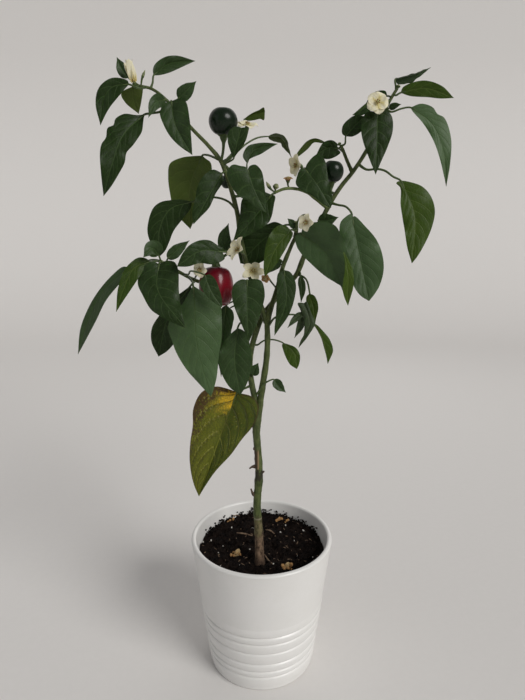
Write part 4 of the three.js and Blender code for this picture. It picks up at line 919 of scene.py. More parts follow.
def tree_of(*values):
    """The tree that holds the first value that changes."""
    return next(value.socket.id_data for value in values if isinstance(value, Value))


def combined(operation, *values):
    made = add_node(tree_of(*values), "Math", dict(enumerate(values)), operation=operation)
    return Value(made.outputs[0])


def larger(first, second):
    return combined("MAXIMUM", first, second)


def clamped(value):
    return combined("MINIMUM", 1.0, larger(0.0, value))


def span(value, low, high, start=0.0, end=1.0):
    """A value between low and high, eased to run from start to end."""
    values = dict(enumerate((value, low, high, start, end)))
    made = add_node(tree_of(value), "MapRange", values, interpolation_type="SMOOTHSTEP")
    return Value(made.outputs[0])


def near(value, middle, low, high, start):
    """A value that falls from start to 0 with the distance from a middle one."""
    return span(combined("ABSOLUTE", value - middle), low, high, start, 0.0)


def mix(factor, first, second):
    made = add_node(tree_of(factor), "Mix", {0: factor, 6: first, 7: second}, data_type="RGBA")
    return Value(made.outputs[2])


def clouds(place, scale, detail, rough):
    values = {"Vector": place, "Scale": scale, "Detail": detail, "Roughness": rough}
    return Value(add_node(tree_of(place), "TexNoise", values).outputs[0])


def cells(place, scale, feature):
    """The distance from the middle of a cell, or from its edge."""
    made = add_node(tree_of(place), "TexVoronoi", {"Vector": place, "Scale": scale}, feature=feature)
    return Value(made.outputs["Distance"])


def parts(place):
    return [Value(socket) for socket in add_node(tree_of(place), "SeparateXYZ", {0: place}).outputs]


def mark(tree, name):
    """One of the three marks that each point of a piece has."""
    return Value(add_node(tree, "Attribute", {}, attribute_name=name).outputs["Vector"])


def node_group(name, inputs, outputs, build):
    """A named group of nodes. build takes the group's inputs and gives its outputs."""
    tree = bpy.data.node_groups.new(name, "ShaderNodeTree")
    for way, sockets in (("INPUT", inputs), ("OUTPUT", outputs)):
        for label, kind in sockets.items():
            tree.interface.new_socket(label, in_out=way, socket_type="NodeSocket" + kind)
    entry, leave = tree.nodes.new("NodeGroupInput"), tree.nodes.new("NodeGroupOutput")
    for socket, result in zip(leave.inputs, build(*map(Value, entry.outputs[:len(inputs)]))):
        feed(socket, result)
    return tree


def grouped(group, **values):
    """The outputs of a node group that is placed in a material with its own values."""
    made = add_node(tree_of(*values.values()), "Group", values, node_tree=group)
    return [Value(socket) for socket in made.outputs]


def build_leaf_veins(place, veins):
    """The midrib with its side veins, the fine net between them, and the height of both."""
    across, _, _ = parts(place)
    phase, out, under = parts(veins)
    rib = span(combined("ABSOLUTE", across), 0.15, 0.7, 1.0, 0.0)
    lateral = span(combined("PINGPONG", phase, 0.5), 0.02, 0.075, 1.0, 0.0)
    main = larger(rib, lateral * span(out, 0.6, 1.0, 0.8, 0.1))
    net = span(cells(place, 0.42, "DISTANCE_TO_EDGE"), 0.02, 0.14, 1.0, 0.0)
    return main, net, (main + net * 0.35) * (under - 0.5)


def build_mottling(place, scale):
    """Soft patches, and a fine grain."""
    coarse = clouds(place, scale, 3.0, 0.6)
    fine = clouds(place, scale * 9.0, 4.0, 0.7)
    return span(fine * 0.35 + coarse * 0.65, 0.38, 0.62), fine


def build_specks(place, size, share):
    """Small round bits, more of them in some places."""
    spots = cells(place, combined("DIVIDE", 1.0, size), "F1")
    return (span(spots - clouds(place, 0.11, 2.0, 0.55) * share, -0.06, 0.04, 1.0, 0.0),)


LEAF_VEINS = node_group("leaf veins", {"Place": "Vector", "Veins": "Vector"},
                        {"Main": "Float", "Net": "Float", "Height": "Float"}, build_leaf_veins)
MOTTLING = node_group("mottling", {"Place": "Vector", "Scale": "Float"},
                      {"Patches": "Float", "Grain": "Float"}, build_mottling)
SPECKS = node_group("specks", {"Place": "Vector", "Size": "Float", "Share": "Float"},
                    {"Specks": "Float"}, build_specks)


def mottled(place, scale):
    return grouped(MOTTLING, Place=place, Scale=scale)


def finish_of(name, build, **constants):
    """A material: build gives its colour, roughness, relief and depth. Constants sit on the shader."""
    finish = bpy.data.materials.new(name)
    finish.use_nodes = True
    tree = finish.node_tree
    sockets = tree.nodes["Principled BSDF"].inputs
    for label, value in constants.items():
        feed(sockets[label.replace("_", " ")], value)
    colour, rough, relief, depth = build(tree)
    feed(sockets["Base Color"], colour)
    feed(sockets["Roughness"], rough)
    if depth:
        bump = add_node(tree, "Bump", {"Height": relief, "Distance": depth * MM, "Strength": 1.0})
        feed(sockets["Normal"], Value(bump.outputs[0]))
    return finish


def leaf_finish(name, deep, light, vein, below):
    """A satin leaf: deep green with lighter flesh and veins, and a paler, duller underside."""
    def build(tree):
        place, veins = mark(tree, "place"), mark(tree, "veins")
        tone, under = parts(mark(tree, "age"))[0], parts(veins)[2]
        main, net, height = grouped(LEAF_VEINS, Place=place, Veins=veins)
        patches, grain = mottled(place, 0.09)
        # Painted sheen: the tone leans the green towards the light colour, which on the lighter leaves
        # stands for sheen.
        flesh = mix(clamped(tone + (patches - 0.5) * 0.16), deep, light)
        flesh = mix(net * 0.1, flesh, vein)
        flesh = mix(main * 0.5, flesh, vein)
        colour = mix(under, flesh, mix(main * 0.6, below, vein))
        return colour, grain * 0.14 + 0.34 + under * 0.22, height, 0.3
    return finish_of(name, build, Specular_IOR_Level=0.18, Subsurface_Weight=0.05,
                     Subsurface_Radius=(0.6, 1.0, 0.3), Subsurface_Scale=0.0012)


def yellow_leaf_finish():
    """A leaf that dies from its rim: gold by the stalk, lighter on its left half, with brown specks."""
    def build(tree):
        place, veins = mark(tree, "place"), mark(tree, "veins")
        _, u, v = parts(mark(tree, "age"))
        phase, out, under = parts(veins)
        main, net, height = grouped(LEAF_VEINS, Place=place, Veins=veins)
        patches, grain = mottled(place, 0.05)
        left = span(v, -0.2, 0.3)
        green = mix(left, (0.055, 0.083, 0.006), (0.135, 0.148, 0.009))
        green = mix(span(grain, 0.38, 0.62, 0.0, 0.6), green, (0.09, 0.1, 0.008))

        uneven = (patches - 0.5) * 0.3 + (grain - 0.5) * 0.9
        dying = uneven + span(u - left * 0.3, -0.25, 0.25, 1.0, 0.0)
        by_stalk = span(u, 0.02, 0.36, 1.3, 0.0) * span(v, -0.08, 0.06)
        gold = uneven + by_stalk - span(v, 0.3, 1.0) * 0.35
        colour = mix(span(dying, 0.25, 0.9), green, (0.3, 0.235, 0.018))
        colour = mix(span(gold, 0.35, 0.95), colour, (0.62, 0.39, 0.016))

        # Painted shade: a dark band beside each side vein, on the side that the raised flesh would shade.
        painted_crease_shade = span(combined("FRACT", phase), 0.02, 0.5, 0.85, 0.0) * span(out, 0.02, 0.2)
        painted_crease_colour = mix(left, (0.022, 0.035, 0.004), (0.07, 0.075, 0.007))
        colour = mix(painted_crease_shade * (patches * 0.8 + 0.4), colour, painted_crease_colour)
        vein = mix(span(u, 0.22, 0.5), (0.055, 0.04, 0.006), (0.32, 0.33, 0.05))
        colour = mix(main * 0.7, colour, vein)
        colour = mix(net * 0.4, colour, (0.035, 0.042, 0.004))

        edge = span(v, 0.42, 1.08) * span(u, 0.3, 0.75, 1.0, 0.1)
        top = span(u, 0.0, 0.16, 1.0, 0.0) * span(out, 0.5, 1.0, 0.0, 0.75)
        rot = larger(edge, top)
        spots = span(rot * 0.22 + grain, 0.53, 0.64) * span(rot, 0.04, 0.33)
        dark = larger(spots * 0.88, span(out, 0.95, 0.99, 0.0, 0.85))
        colour = mix(dark, colour, (0.06, 0.03, 0.014))
        colour = mix(under * 0.35, colour, (0.3, 0.3, 0.1))
        return colour, grain * 0.2 + 0.38, height, 1.0
    return finish_of("yellowing leaf", build, Specular_IOR_Level=0.25, Subsurface_Weight=0.12,
                     Subsurface_Radius=(1.0, 0.8, 0.2), Subsurface_Scale=0.0012)


def stem_finish():
    """Green skin with paler streaks, which turns to cracked brown bark low on the trunk."""
    def build(tree):
        place = mark(tree, "place")
        across, _, height = parts(place)
        stretched = add_node(tree, "VectorMath", {0: place, 1: STREAK_SHAPE}, operation="MULTIPLY")
        patches, grain = mottled(Value(stretched.outputs[0]), 0.35)
        green = mix(patches, (0.04, 0.058, 0.014), (0.1, 0.125, 0.038))
        bark = mix(patches, (0.04, 0.024, 0.015), (0.27, 0.18, 0.115))
        bark = mix(span(height, *STAIN_END, 0.8, 0.0), bark, (0.035, 0.02, 0.013))
        edge = patches * 9.0 + height
        bark_share = larger(span(edge, *BARK_END, 1.0, 0.0), span(edge, *STREAKS_END, 0.5, 0.0))
        colour = mix(bark_share, green, bark)

        scar = span(height, *SCAR_FOOT) * span(height, *SCAR_TOP, 1.0, 0.0)
        scar = span(across, -2.9, -1.9, 1.0, 0.0) * scar
        flake = mix(span(across, -4.6, -2.4), (0.06, 0.03, 0.018), (0.38, 0.26, 0.14))
        colour = mix(scar * 0.9, colour, flake)
        colour = mix(near(edge, DARK_RING, 3.0, 7.0, 0.85), colour, (0.02, 0.014, 0.01))
        colour = mix(near(height, PALE_RING, 0.5, 1.1, 0.6), colour, (0.3, 0.27, 0.19))
        return colour, bark_share * 0.3 + 0.45, grain, 0.5
    return finish_of("stem skin", build, Specular_IOR_Level=0.25)


def plain_finish(name, first, second, scale, rough, depth, **constants):
    """Two near colours in patches, with a fine grain in the surface."""
    def build(tree):
        patches, grain = mottled(mark(tree, "place"), scale)
        return mix(patches, first, second), grain * 0.12 + rough, grain, depth
    return finish_of(name, build, **constants)


def petal_finish(name, rim, heart, rough):
    """Soft petals with fine lines from the heart to the tip."""
    def build(tree):
        _, u, v = parts(mark(tree, "age"))
        _, grain = mottled(mark(tree, "place"), 0.5)
        lines = combined("PINGPONG", v * 3.0, 0.5)
        colour = mix(span(u, 0.0, 0.55), heart, rim)
        colour = mix(grain * 0.3, colour, heart)
        return colour, grain * 0.2 + rough, lines + grain * 0.4, 0.15
    return finish_of(name, build, Specular_IOR_Level=0.25, Subsurface_Weight=0.25,
                     Subsurface_Radius=(1.0, 0.9, 0.6), Subsurface_Scale=0.0015)


def fruit_finish(name, skin, painted_shoulder_shade, coat):
    """Glossy skin, with painted shade on its shoulders."""
    def build(tree):
        _, u, _ = parts(mark(tree, "age"))
        patches, grain = mottled(mark(tree, "place"), 0.12)
        # Painted shade: the skin darkens towards the stalk end, where u is 0.
        share = patches * 0.35 + span(u, 0.0, 0.45, 0.7, 0.0)
        return mix(share, skin, painted_shoulder_shade), grain * 0.06 + 0.25, grain, 0.05
    return finish_of(name, build, Specular_IOR_Level=0.2, Coat_Weight=coat, Coat_Roughness=0.12)


def soil_finish():
    """Damp black soil, brown and reddish in places."""
    def build(tree):
        place = mark(tree, "place")
        patches, grain = mottled(place, 0.16)
        bits = grouped(SPECKS, Place=place, Size=1.7, Share=0.4)[0]
        colour = mix(patches, (0.003, 0.002, 0.002), (0.012, 0.007, 0.005))
        colour = mix(bits * 0.5, colour, (0.055, 0.037, 0.026))
        return colour, grain * 0.3 + 0.7, grain, 1.2
    return finish_of("damp soil", build, Specular_IOR_Level=0.1)


def floor_finish():
    """A matt, even floor."""
    def build(tree):
        _, grain = mottled(Value(add_node(tree, "TexCoord", {}).outputs["Object"]), 14.0)
        return mix(grain, (0.74, 0.72, 0.7), (0.78, 0.76, 0.74)), grain * 0.2 + 0.6, grain, 0
    return finish_of("pale floor", build, Specular_IOR_Level=0.3)


LEAF_FINISHES = {
    # The dark leaf's light colour is a blue-grey green that stands partly for painted sheen.
    "dark": leaf_finish("dark leaf", deep=(0.011, 0.025, 0.003), light=(0.072, 0.122, 0.05),
                        vein=(0.06, 0.1, 0.032), below=(0.045, 0.08, 0.02)),
    "bright": leaf_finish("bright leaf", deep=(0.022, 0.045, 0.004), light=(0.07, 0.12, 0.009),
                          vein=(0.09, 0.13, 0.025), below=(0.06, 0.09, 0.02)),
    "pale": leaf_finish("pale leaf", deep=(0.026, 0.046, 0.005), light=(0.075, 0.105, 0.02),
                        vein=(0.1, 0.13, 0.03), below=(0.07, 0.1, 0.03)),
    "yellow": yellow_leaf_finish(),
}
WILTED_LEAF = leaf_finish("wilted leaf", deep=(0.018, 0.032, 0.012), light=(0.075, 0.105, 0.05),
                          vein=(0.1, 0.13, 0.06), below=(0.03, 0.045, 0.018))
STEM_SKIN = stem_finish()
STALK_SKIN = plain_finish("leaf stalk", (0.035, 0.06, 0.014), (0.075, 0.11, 0.028),
                          scale=0.3, rough=0.45, depth=0.1, Specular_IOR_Level=0.4)
# Painted light: a lighter copy of the stem green for two branches in shade, partly also the paler green of
# young growth.
YOUNG_LIT_SKIN = plain_finish("young stem painted lit", (0.075, 0.11, 0.026), (0.14, 0.18, 0.055),
                          scale=0.3, rough=0.42, depth=0.1, Specular_IOR_Level=0.35)
STUB_BARK = plain_finish("stub bark", (0.03, 0.018, 0.012), (0.11, 0.07, 0.045),
                         scale=0.6, rough=0.7, depth=0.3)
BUD_SKIN = plain_finish("flower bud", (0.1, 0.14, 0.05), (0.3, 0.3, 0.14), scale=0.5, rough=0.5, depth=0.1)
PETAL = petal_finish("cream petal", rim=(0.88, 0.83, 0.62), heart=(0.66, 0.55, 0.2), rough=0.5)
DRY_PETAL = petal_finish("dried petal", rim=(0.4, 0.24, 0.1), heart=(0.22, 0.1, 0.04), rough=0.65)
FALLEN_PETAL = petal_finish("fallen petal", rim=(0.62, 0.45, 0.24), heart=(0.36, 0.2, 0.08), rough=0.65)
ANTHER = plain_finish("anther", (0.2, 0.13, 0.05), (0.42, 0.27, 0.1), scale=0.9, rough=0.6, depth=0.1)
STIGMA = plain_finish("stigma", (0.45, 0.5, 0.2), (0.6, 0.62, 0.3), scale=0.9, rough=0.5, depth=0.1)
# The second colour of each fruit skin is painted shade for its shoulders.
RED_SKIN = fruit_finish("red fruit skin", (0.17, 0.003, 0.011), (0.05, 0.002, 0.006), coat=0.3)
DARK_SKIN = fruit_finish("dark fruit skin", (0.005, 0.014, 0.004), (0.003, 0.008, 0.003), coat=0.15)
SOIL = soil_finish()
SPLINTER = plain_finish("wood splinter", (0.09, 0.05, 0.03), (0.26, 0.18, 0.11),
                        scale=0.5, rough=0.7, depth=0.2)
PERLITE_WHITE = plain_finish("perlite", (0.55, 0.52, 0.46), (0.75, 0.73, 0.68),
                             scale=0.8, rough=0.7, depth=0.3)
GLAZE = plain_finish("white glaze", (0.78, 0.77, 0.745), (0.8, 0.79, 0.77), scale=0.02, rough=0.3,
                     depth=0.02, Specular_IOR_Level=0.5, Coat_Weight=0.25, Coat_Roughness=0.22)


# Pot

def outside(height):
    """The pot's outer radius at a height."""
    return FOOT_RADIUS + (RIM_RADIUS - FOOT_RADIUS) * height / POT_HEIGHT


def inside(height):
    """The soil's radius at a height."""
    return outside(height) - WALL - SOIL_GAP


def pot_profile():
    """The foot, the rounded bands between the grooves, the plain wall, the lip and the inside."""
    profile = [(0, 0), *((FOOT_RADIUS - inset, height) for inset, height in FOOT_BEVEL)]
    edges = [BANDS_LOW, *GROOVES, BANDS_HIGH]
    for height in np.arange(1.8, POT_HEIGHT - LIP, POT_STEP):
        radius = outside(height)
        for groove in GROOVES:
            radius -= GROOVE_DEPTH * math.exp(-((height - groove) / GROOVE_WIDTH) ** 2)
        for low, high in zip(edges, edges[1:]):
            if low < height < high:
                radius += BAND_BULGE * math.sin(math.pi * (height - low) / (high - low))
        profile.append((radius, height))
    for angle in np.linspace(0, 180, LIP_STEPS) * DEGREE:
        profile.append((RIM_RADIUS - LIP + LIP * math.cos(angle), POT_HEIGHT - LIP + LIP * math.sin(angle)))
    for height in np.linspace(POT_HEIGHT - LIP - 2, FLOOR + 2, INSIDE_STEPS):
        profile.append((outside(height) - WALL, height))
    inner = outside(FLOOR) - WALL
    return profile + [(inner - 1.5, FLOOR + 0.4), (inner - 4, FLOOR), (0, FLOOR)]


def make_pot():
    Shape().add(*lathe(pot_profile(), POT_SIDES)).piece("pot_glazed", [GLAZE], "pot_glaze", "pot", sharp=70)


# Soil

def soil_height(x, y):
    """How high the uneven soil lies at a place. It rises a little towards the back."""
    lumps = math.sin(0.31 * x + 1.7) * math.sin(0.37 * y + 0.4)
    crumbs = 0.6 * math.sin(0.83 * x - 0.61 * y)
    coarse = 2.2 * noise.fractal(Vector((x, y, 3.0)) * 0.11, 1.0, 2.0, 4)
    fine = 0.8 * abs(noise.noise(Vector((x, y, 9.0)) * 0.45))
    return SOIL_LEVEL + SOIL_RISE * y / RIM_RADIUS + SOIL_CRUMB * (lumps + crumbs) * 0.8 + coarse + fine


def soil_ring(radius):
    """Places on a circle about the pot's axis, as x and y."""
    angles = np.linspace(0, FULL_TURN, SOIL_SIDES, endpoint=False)
    return [(radius * math.cos(angle), radius * math.sin(angle)) for angle in angles]


def on_soil(across, up):
    """Where the line of sight through a place on the upright plane meets the soil, as x and y."""
    way = np.array([across, 0.0, up]) - EYE
    x, y, _ = EYE + way * (SOIL_LEVEL + 1 - EYE[2]) / way[2]
    return x, y


def scattered(chance):
    """A random place on the soil, as x and y."""
    radius = (inside(SOIL_LEVEL) - 1.2) * math.sqrt(chance.random())
    angle = chance.uniform(0, FULL_TURN)
    return radius * math.cos(angle), radius * math.sin(angle)


def lump_template(rounds):
    """Points and faces of a ball of flat faces."""
    ball = bpy.data.meshes.new("lump")
    made = bmesh.new()
    bmesh.ops.create_icosphere(made, subdivisions=rounds, radius=1)
    made.to_mesh(ball)
    made.free()
    points = np.array([vertex.co[:] for vertex in ball.vertices])
    faces = [tuple(face.vertices) for face in ball.polygons]
    bpy.data.meshes.remove(ball)
    return points, faces


def add_lump(shape, template, chance, x, y, size, finish=0, lift=0.15):
    """A lump of a random form on the soil, lifted by a share of its size."""
    points, faces = template
    stretch = np.array([size * chance.uniform(0.7, 1.3) for _ in range(3)])
    bumps = np.array([chance.uniform(0.75, 1.25) for _ in points])[:, None]
    turn = chance.uniform(0, math.pi)
    spin = np.array([[math.cos(turn), -math.sin(turn), 0], [math.sin(turn), math.cos(turn), 0], [0, 0, 1]])
    at = np.array([x, y, soil_height(x, y) + lift * size])
    shape.add((points * bumps * stretch) @ spin.T + at, faces, finish)


def make_soil():
    rows = [[(x, y, SOIL_FOOT) for x, y in soil_ring(radius)] for radius in (0.4, inside(SOIL_FOOT))]
    for share in np.linspace(1, 0.01, SOIL_RINGS):
        rows.append([(x, y, soil_height(x, y)) for x, y in soil_ring(share * inside(SOIL_LEVEL))])
    bed = Shape().add(np.array(rows, float).reshape(-1, 3), tube_faces(len(rows), SOIL_SIDES))
    bed.piece("soil_bed", [SOIL], "soil", "soil", sharp=80)

    chance = random.Random(SOIL_SEED)
    template = lump_template(1)
    crumbs = Shape()
    for _ in range(CRUMBS):
        add_lump(crumbs, template, chance, *scattered(chance), chance.uniform(*CRUMB_SIZES) ** 1.4)
    for _ in range(WALL_CRUMBS):
        angle = chance.uniform(20, 160) * DEGREE
        height = abs(chance.gauss(0, WALL_CRUMB_CLIMB))
        radius = inside(SOIL_LEVEL + height) - 0.4
        x, y = radius * math.cos(angle), radius * math.sin(angle)
        add_lump(crumbs, template, chance, x, y, chance.uniform(*WALL_CRUMB_SIZES), lift=height)
    crumbs.piece("soil_crumbs", [SOIL], "soil", "soil", sharp=40)

    white = Shape()
    for place in PERLITE:
        add_lump(white, template, chance, *on_soil(*place), chance.uniform(*PERLITE_SIZES), lift=0.5)
    white.piece("perlite_grains", [PERLITE_WHITE], "soil", "soil", sharp=30)

    wood = Shape()
    for _ in range(SPLINTERS):
        x, y = scattered(chance)
        angle, length = chance.uniform(0, FULL_TURN), chance.uniform(*SPLINTER_LENGTHS)
        reach = np.array([math.cos(angle), math.sin(angle), chance.uniform(-0.15, 0.3)]) * length / 2
        at = np.array([x, y, soil_height(x, y) + 0.5])
        thick = chance.uniform(*SPLINTER_RADII)
        wood.add(*tube(np.array([at - reach, at, at + reach]), [thick * 0.5, thick, thick * 0.4], 6))
    for route in TWIGS:
        path = [(x, y, soil_height(x, y) + 1.4) for x, y in (on_soil(*place) for place in route)]
        wood.add(*tube(smooth_path(path, 10), TWIG_RADII, 8))
    for across, up, size in TAN_LUMPS:
        x, y = on_soil(across, up)
        for _ in range(3):
            beside = x + chance.uniform(-2, 2), y + chance.uniform(-1, 1)
            add_lump(wood, template, chance, *beside, size, finish=1, lift=0.8)
    wood.piece("soil_splinters", [SPLINTER, FALLEN_PETAL], "soil", "soil", sharp=35)


# Stem and leaves

def make_stems():
    for number, (name, (route, radii, steps)) in enumerate(STEMS.items()):
        trunk = name == "trunk"
        steps *= TRUNK_FINENESS if trunk else BRANCH_FINENESS
        path = smooth_path(seen_all(route), steps)
        radii = spread(radii, steps + 1)
        place = np.linspace(0, 1, steps + 1)
        if trunk:
            for level, swell, reach in SWELLINGS:
                radii = radii + swell * np.exp(-((path[:, 2] - level) / reach) ** 2)
        else:
            radii = radii * (1 + 0.25 * np.exp(-(place * len(place) / 5) ** 2))
            for share in BRANCH_NODES:
                radii = radii * (1 + 0.1 * np.exp(-((place - share) * len(place) / 2.2) ** 2))
        sides, roughness = (TRUNK_SIDES, 0.02) if trunk else (BRANCH_SIDES, 0.01)
        points, faces = tube(path, radii, sides, roughness, number)
        # The two branches in shade take the lighter copy of the stem green, painted light.
        skin = YOUNG_LIT_SKIN if name in YOUNG_LIT_STEMS else STEM_SKIN
        Shape().add(points, faces).piece("stem_" + name, [skin], "stem_green", "stem", sharp=60)


def make_small_growth():
    for number, leaf in enumerate(SMALL_LEAVES, 1):
        shape = Shape()
        add_blade(shape, leaf, 0, leaf.get("tone", SMALL_TONE))
        add_stalk(shape, leaf, seen(leaf["start"]), 1)
        finish = LEAF_FINISHES[leaf.get("kind", "dark")]
        shape.piece("small_leaf_%d" % number, [finish, STALK_SKIN], "leaf_dark", "stem")
    for number, route in enumerate(STUBS, 1):
        points, faces = tube(smooth_path(seen_all(route), 8), STUB_RADII, 10, 0.08, number)
        Shape().add(points, faces).piece("dead_stub_%d" % number, [STUB_BARK], "stem_green", "stem")
    for number, (route, radius) in enumerate(BUDS, 1):
        path = smooth_path(seen_all(route), 20)
        shape = Shape()
        shape.add(*tube(path[:13], [0.7, 0.7, 0.8, radius * 0.7, radius], 12), 0)
        shape.add(*tube(path[10:], [radius * 0.7, radius * 0.95, radius * 0.9, radius * 0.5, 0.2], 12), 1)
        shape.piece("flower_bud_%d" % number, [STALK_SKIN, BUD_SKIN], "stem_green", "stem")


def make_leaves():
    for name, leaf in LEAVES.items():
        kind, tone = leaf.get("kind", "dark"), leaf.get("tone", LEAF_TONE)
        shape = Shape()
        add_blade(shape, leaf, 0, tone)
        if "second" in leaf:
            add_blade(shape, leaf["second"], 0, tone)
        if "flap" in leaf:
            add_blade(shape, leaf["flap"], 2, FLAP_TONE)
        start = leaf.get("start") or leaf.get("stalk", leaf["rib"])[0]
        add_stalk(shape, leaf, nearest_stem(start), 1)
        finishes = [LEAF_FINISHES[kind], STALK_SKIN, LEAF_FINISHES["bright"]]
        shape.piece(name + "_blade", finishes, "leaf_" + kind, name)


def make_wilted_tuft():
    shape = Shape()
    for blade in WILTED_BLADES:
        add_blade(shape, {**blade, **WILTED_FORM}, 0, WILTED_TONE)
    route = [nearest_stem(WILTED_STALK[0]), *seen_all(WILTED_STALK[1:])]
    shape.add(*tube(smooth_path(route, 20), WILTED_STALK_RADII, 10), 1)
    shape.add(*tube(smooth_path(seen_all(WILTED_NECK), 8), WILTED_NECK_RADII, 8), 1)
    shape.piece("wilted_tuft", [WILTED_LEAF, STALK_SKIN], "leaf_pale", "leaf_tuft_wilted")


# Blooms

def add_petal(shape, at, axis, out, angle, radius, close, chance, breadth, flare):
    """One pointed petal that rises outwards from the middle, cupped along its length."""
    u = np.linspace(0.06, 1, PETAL_STEPS + 1)[:, None]
    v = np.linspace(-1, 1, 2 * PETAL_HALVES + 1)[None, :]
    bend = (close + chance.uniform(-6, 6)) * DEGREE * (1 - 0.3 * flare * u) - 0.35 * flare * u ** 4
    width = radius * breadth * np.sin(math.pi * np.clip(0.14 + 0.86 * u, 0, 1)) ** 0.55
    rise = u * radius * np.sin(bend) - 0.1 * radius * (1 - v ** 2) * np.sin(math.pi * u)
    rise = rise + 0.03 * radius * np.sin(9 * u + 6 * angle) * v ** 2
    middle = (at + (u * radius * np.cos(bend))[:, :, None] * out
              + rise[:, :, None] * axis + (v * width)[:, :, None] * np.cross(axis, out))
    normal = unit(np.cross(np.gradient(middle, axis=0), np.gradient(middle, axis=1)))
    age = grid_marks(rise.shape, 0.0, u, v)
    shape.add(sheet_points(middle, normal, PETAL_HALF_THICKNESS), sheet_faces(*rise.shape, flipped=True),
              age=np.vstack([age, age]))


def make_blooms():
    for name, (place, face, radius, close, stalk, breadth, flare, withered) in BLOOMS.items():
        chance = random.Random(name)
        axis, at = unit(np.array(face, float)), seen(place)
        aside = unit(np.cross([0.1, 0, 1], axis))
        petals, heart = Shape(), Shape()
        for k in range(PETALS):
            angle = FULL_TURN * k / PETALS
            add_petal(petals, at, axis, round_axis(axis, aside, angle), angle, radius, close, chance,
                      breadth, flare)
        finish, slot = (DRY_PETAL, "petal_dried") if withered else (PETAL, "petal_cream")
        petals.piece(name + "_petals", [finish], slot, name)
        for k in range(ANTHERS):
            out = round_axis(axis, aside, FULL_TURN * (k + 0.5) / ANTHERS)
            foot, tip = at + out * 0.5, at + out * 1.4 + axis * 2.0
            thread = smooth_path([foot, (foot + tip) / 2 + out * 0.15, tip], 5)
            head = smooth_path([tip - axis * 0.9, tip, tip + axis * 1.0], 8)
            heart.add(*tube(thread, THREAD_RADII, 6), 1).add(*tube(head, ANTHER_RADII, 8), 0)
        style = smooth_path([at, at + axis * 2.8, at + axis * 3.2], 6)
        heart.add(*tube(style, STYLE_RADII, 8), 1)
        heart.piece(name + "_anthers", [ANTHER, STIGMA], slot, name)
        route = [*seen_all(stalk), at - axis * 3.3, at - axis * 1.2, at]
        cup = Shape().add(*tube(smooth_path(route, 26), CUP_RADII, 12))
        cup.piece("stalk_of_" + name, [STALK_SKIN], "stem_green", "stem")


def make_fallen_blooms():
    template = lump_template(2)
    axis = unit(np.array(FALLEN_FACE))
    aside = unit(np.cross([0.1, 1, 0], axis))
    for name, (x, y, radius) in FALLEN.items():
        chance = random.Random(name)
        at = np.array([x, y, soil_height(x, y) + 0.8])
        shape = Shape()
        for k in range(2 * PETALS):
            bend, reach = chance.uniform(15, 120), radius * chance.uniform(0.6, 1.25)
            angle = math.pi * k / PETALS
            add_petal(shape, at, axis, round_axis(axis, aside, angle), angle, reach, bend, chance,
                      FALLEN_BREADTH, FALLEN_FLARE)
        for _ in range(FALLEN_LUMPS):
            angle, away = chance.uniform(0, FULL_TURN), chance.uniform(0.1, 1.1) * radius
            add_lump(shape, template, chance, x + away * math.cos(angle), y + 0.7 * away * math.sin(angle),
                     chance.uniform(1.2, 2.2), lift=0.6)
        shape.piece(name + "_petals", [FALLEN_PETAL], "petal_dried", name)


# Fruits

def fruit_form(width, length, lobes, squareness):
    """Points and faces of a fruit about +Z, dimpled at both ends, with soft lobes."""
    profile = []
    for angle in np.linspace(-90, 90, 33) * DEGREE:
        radius = width / 2 * max(0.0, math.cos(angle)) ** squareness
        dimple = DIMPLE_DEPTH * math.exp(-(radius / (DIMPLE_REACH * width)) ** 2)
        profile.append((radius, length / 2 * math.sin(angle) - math.copysign(dimple, math.sin(angle))))

    def lobed(angle, height):
        return 1 + lobes * np.cos(LOBES * angle + 0.8) * (0.6 + 0.8 * height / length)
    return lathe(profile, 48, lobed)


def make_fruits():
    for name, (place, way, width, length, stalk, red) in FRUITS.items():
        points, faces = fruit_form(width, length, *(RED_FORM if red else DARK_FORM))
        share = points[:, 2] / length + 0.5
        axis, at = unit(np.array(way, float)), seen(place)
        skin, slot = (RED_SKIN, "fruit_red") if red else (DARK_SKIN, "fruit_dark")
        body = Shape().add(turned(points, axis, at), faces, place=points,
                           age=np.outer(share, (0, 1, 0)))
        body.piece(name + "_skin", [skin], slot, name, sharp=80)

        # The stalk and the green cap that it ends in, with short blunt teeth
        top = at - axis * (length / 2 - 1.0)
        route = [*seen_all(stalk), top - axis * 5, top - axis * 2, top]
        neck = width * 0.1
        radii = [*FRUIT_STALK_RADII, neck + 0.5, neck + 1.2]
        shape = Shape().add(*tube(smooth_path(route, 32), radii, 14))
        points, faces = lathe([(width * share, height) for share, height in CAP], 40,
                              lambda angle, height: 1 + TEETH_DEPTH * np.cos(CAP_TEETH * angle))
        shape.add(turned(points, -axis, at - axis * (length / 2 - 0.6)), faces)
        shape.piece("stalk_of_" + name, [STALK_SKIN], "stem_green", "stem")


# Floor, light and camera

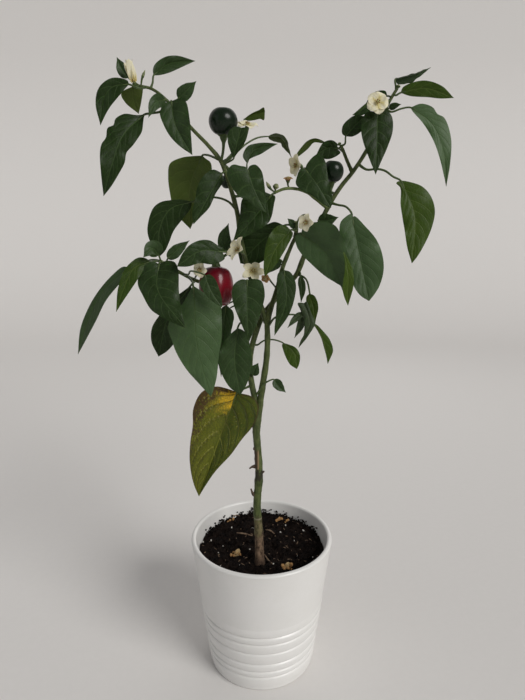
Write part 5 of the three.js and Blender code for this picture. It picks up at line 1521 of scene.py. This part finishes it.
def make_floor():
    """The pale floor, in metres."""
    bend = np.linspace(0, math.pi / 2, 25)
    far = SWEEP_START + SWEEP_RADIUS
    away = np.concatenate([[-FLOOR_REACH], SWEEP_START + SWEEP_RADIUS * np.sin(bend), [far]])
    height = np.concatenate([[0], SWEEP_RADIUS * (1 - np.cos(bend)), [FLOOR_REACH]])
    places = [(x, y, z) for y, z in zip(away, height) for x in (-FLOOR_REACH, FLOOR_REACH)]
    mesh = bpy.data.meshes.new("floor")
    mesh.from_pydata(places, [], [tuple(reversed(quad)) for quad in grid_faces(len(away), 2)])
    mesh.materials.append(floor_finish())
    mesh.shade_smooth()
    new_object("floor", mesh)


def make_light():
    world = bpy.data.worlds.new("studio")
    bpy.context.scene.world = world
    world.use_nodes = True
    tree = world.node_tree
    seen_by_eye = Value(add_node(tree, "LightPath", {}).outputs["Is Camera Ray"])
    feed(tree.nodes["Background"].inputs["Color"], mix(seen_by_eye, AMBIENT, BACKDROP))

    sun = bpy.data.lights.new("key light", "SUN")
    sun.angle, sun.energy, sun.color = KEY_ANGLE * DEGREE, KEY_ENERGY, KEY_COLOUR
    lamps = [(sun, KEY_FROM)]
    for name, place, size, power, colour in LAMPS:
        lamp = bpy.data.lights.new(name, "AREA")
        lamp.size, lamp.energy, lamp.color = size, power, colour
        lamps.append((lamp, place))
    for lamp, place in lamps:
        holder = new_object(lamp.name, lamp)
        holder.location = place
        holder.rotation_euler = (Vector(AIM) - Vector(place)).to_track_quat("-Z", "Y").to_euler()


def make_camera():
    lens = bpy.data.cameras.new("eye")
    lens.lens, lens.sensor_width, lens.clip_start = EYE_LENS, FILM_WIDTH, 0.01
    camera = new_object("eye", lens)
    camera.location = Vector(EYE) * MM
    camera.rotation_euler = (EYE_TILT * DEGREE, 0, 0)
    bpy.context.scene.camera = camera


make_camera()
make_floor()
make_light()
bpy.context.scene.view_settings.view_transform = "Standard"
make_pot()
make_soil()
make_stems()
make_small_growth()
make_leaves()
make_wilted_tuft()
make_blooms()
make_fallen_blooms()
make_fruits()
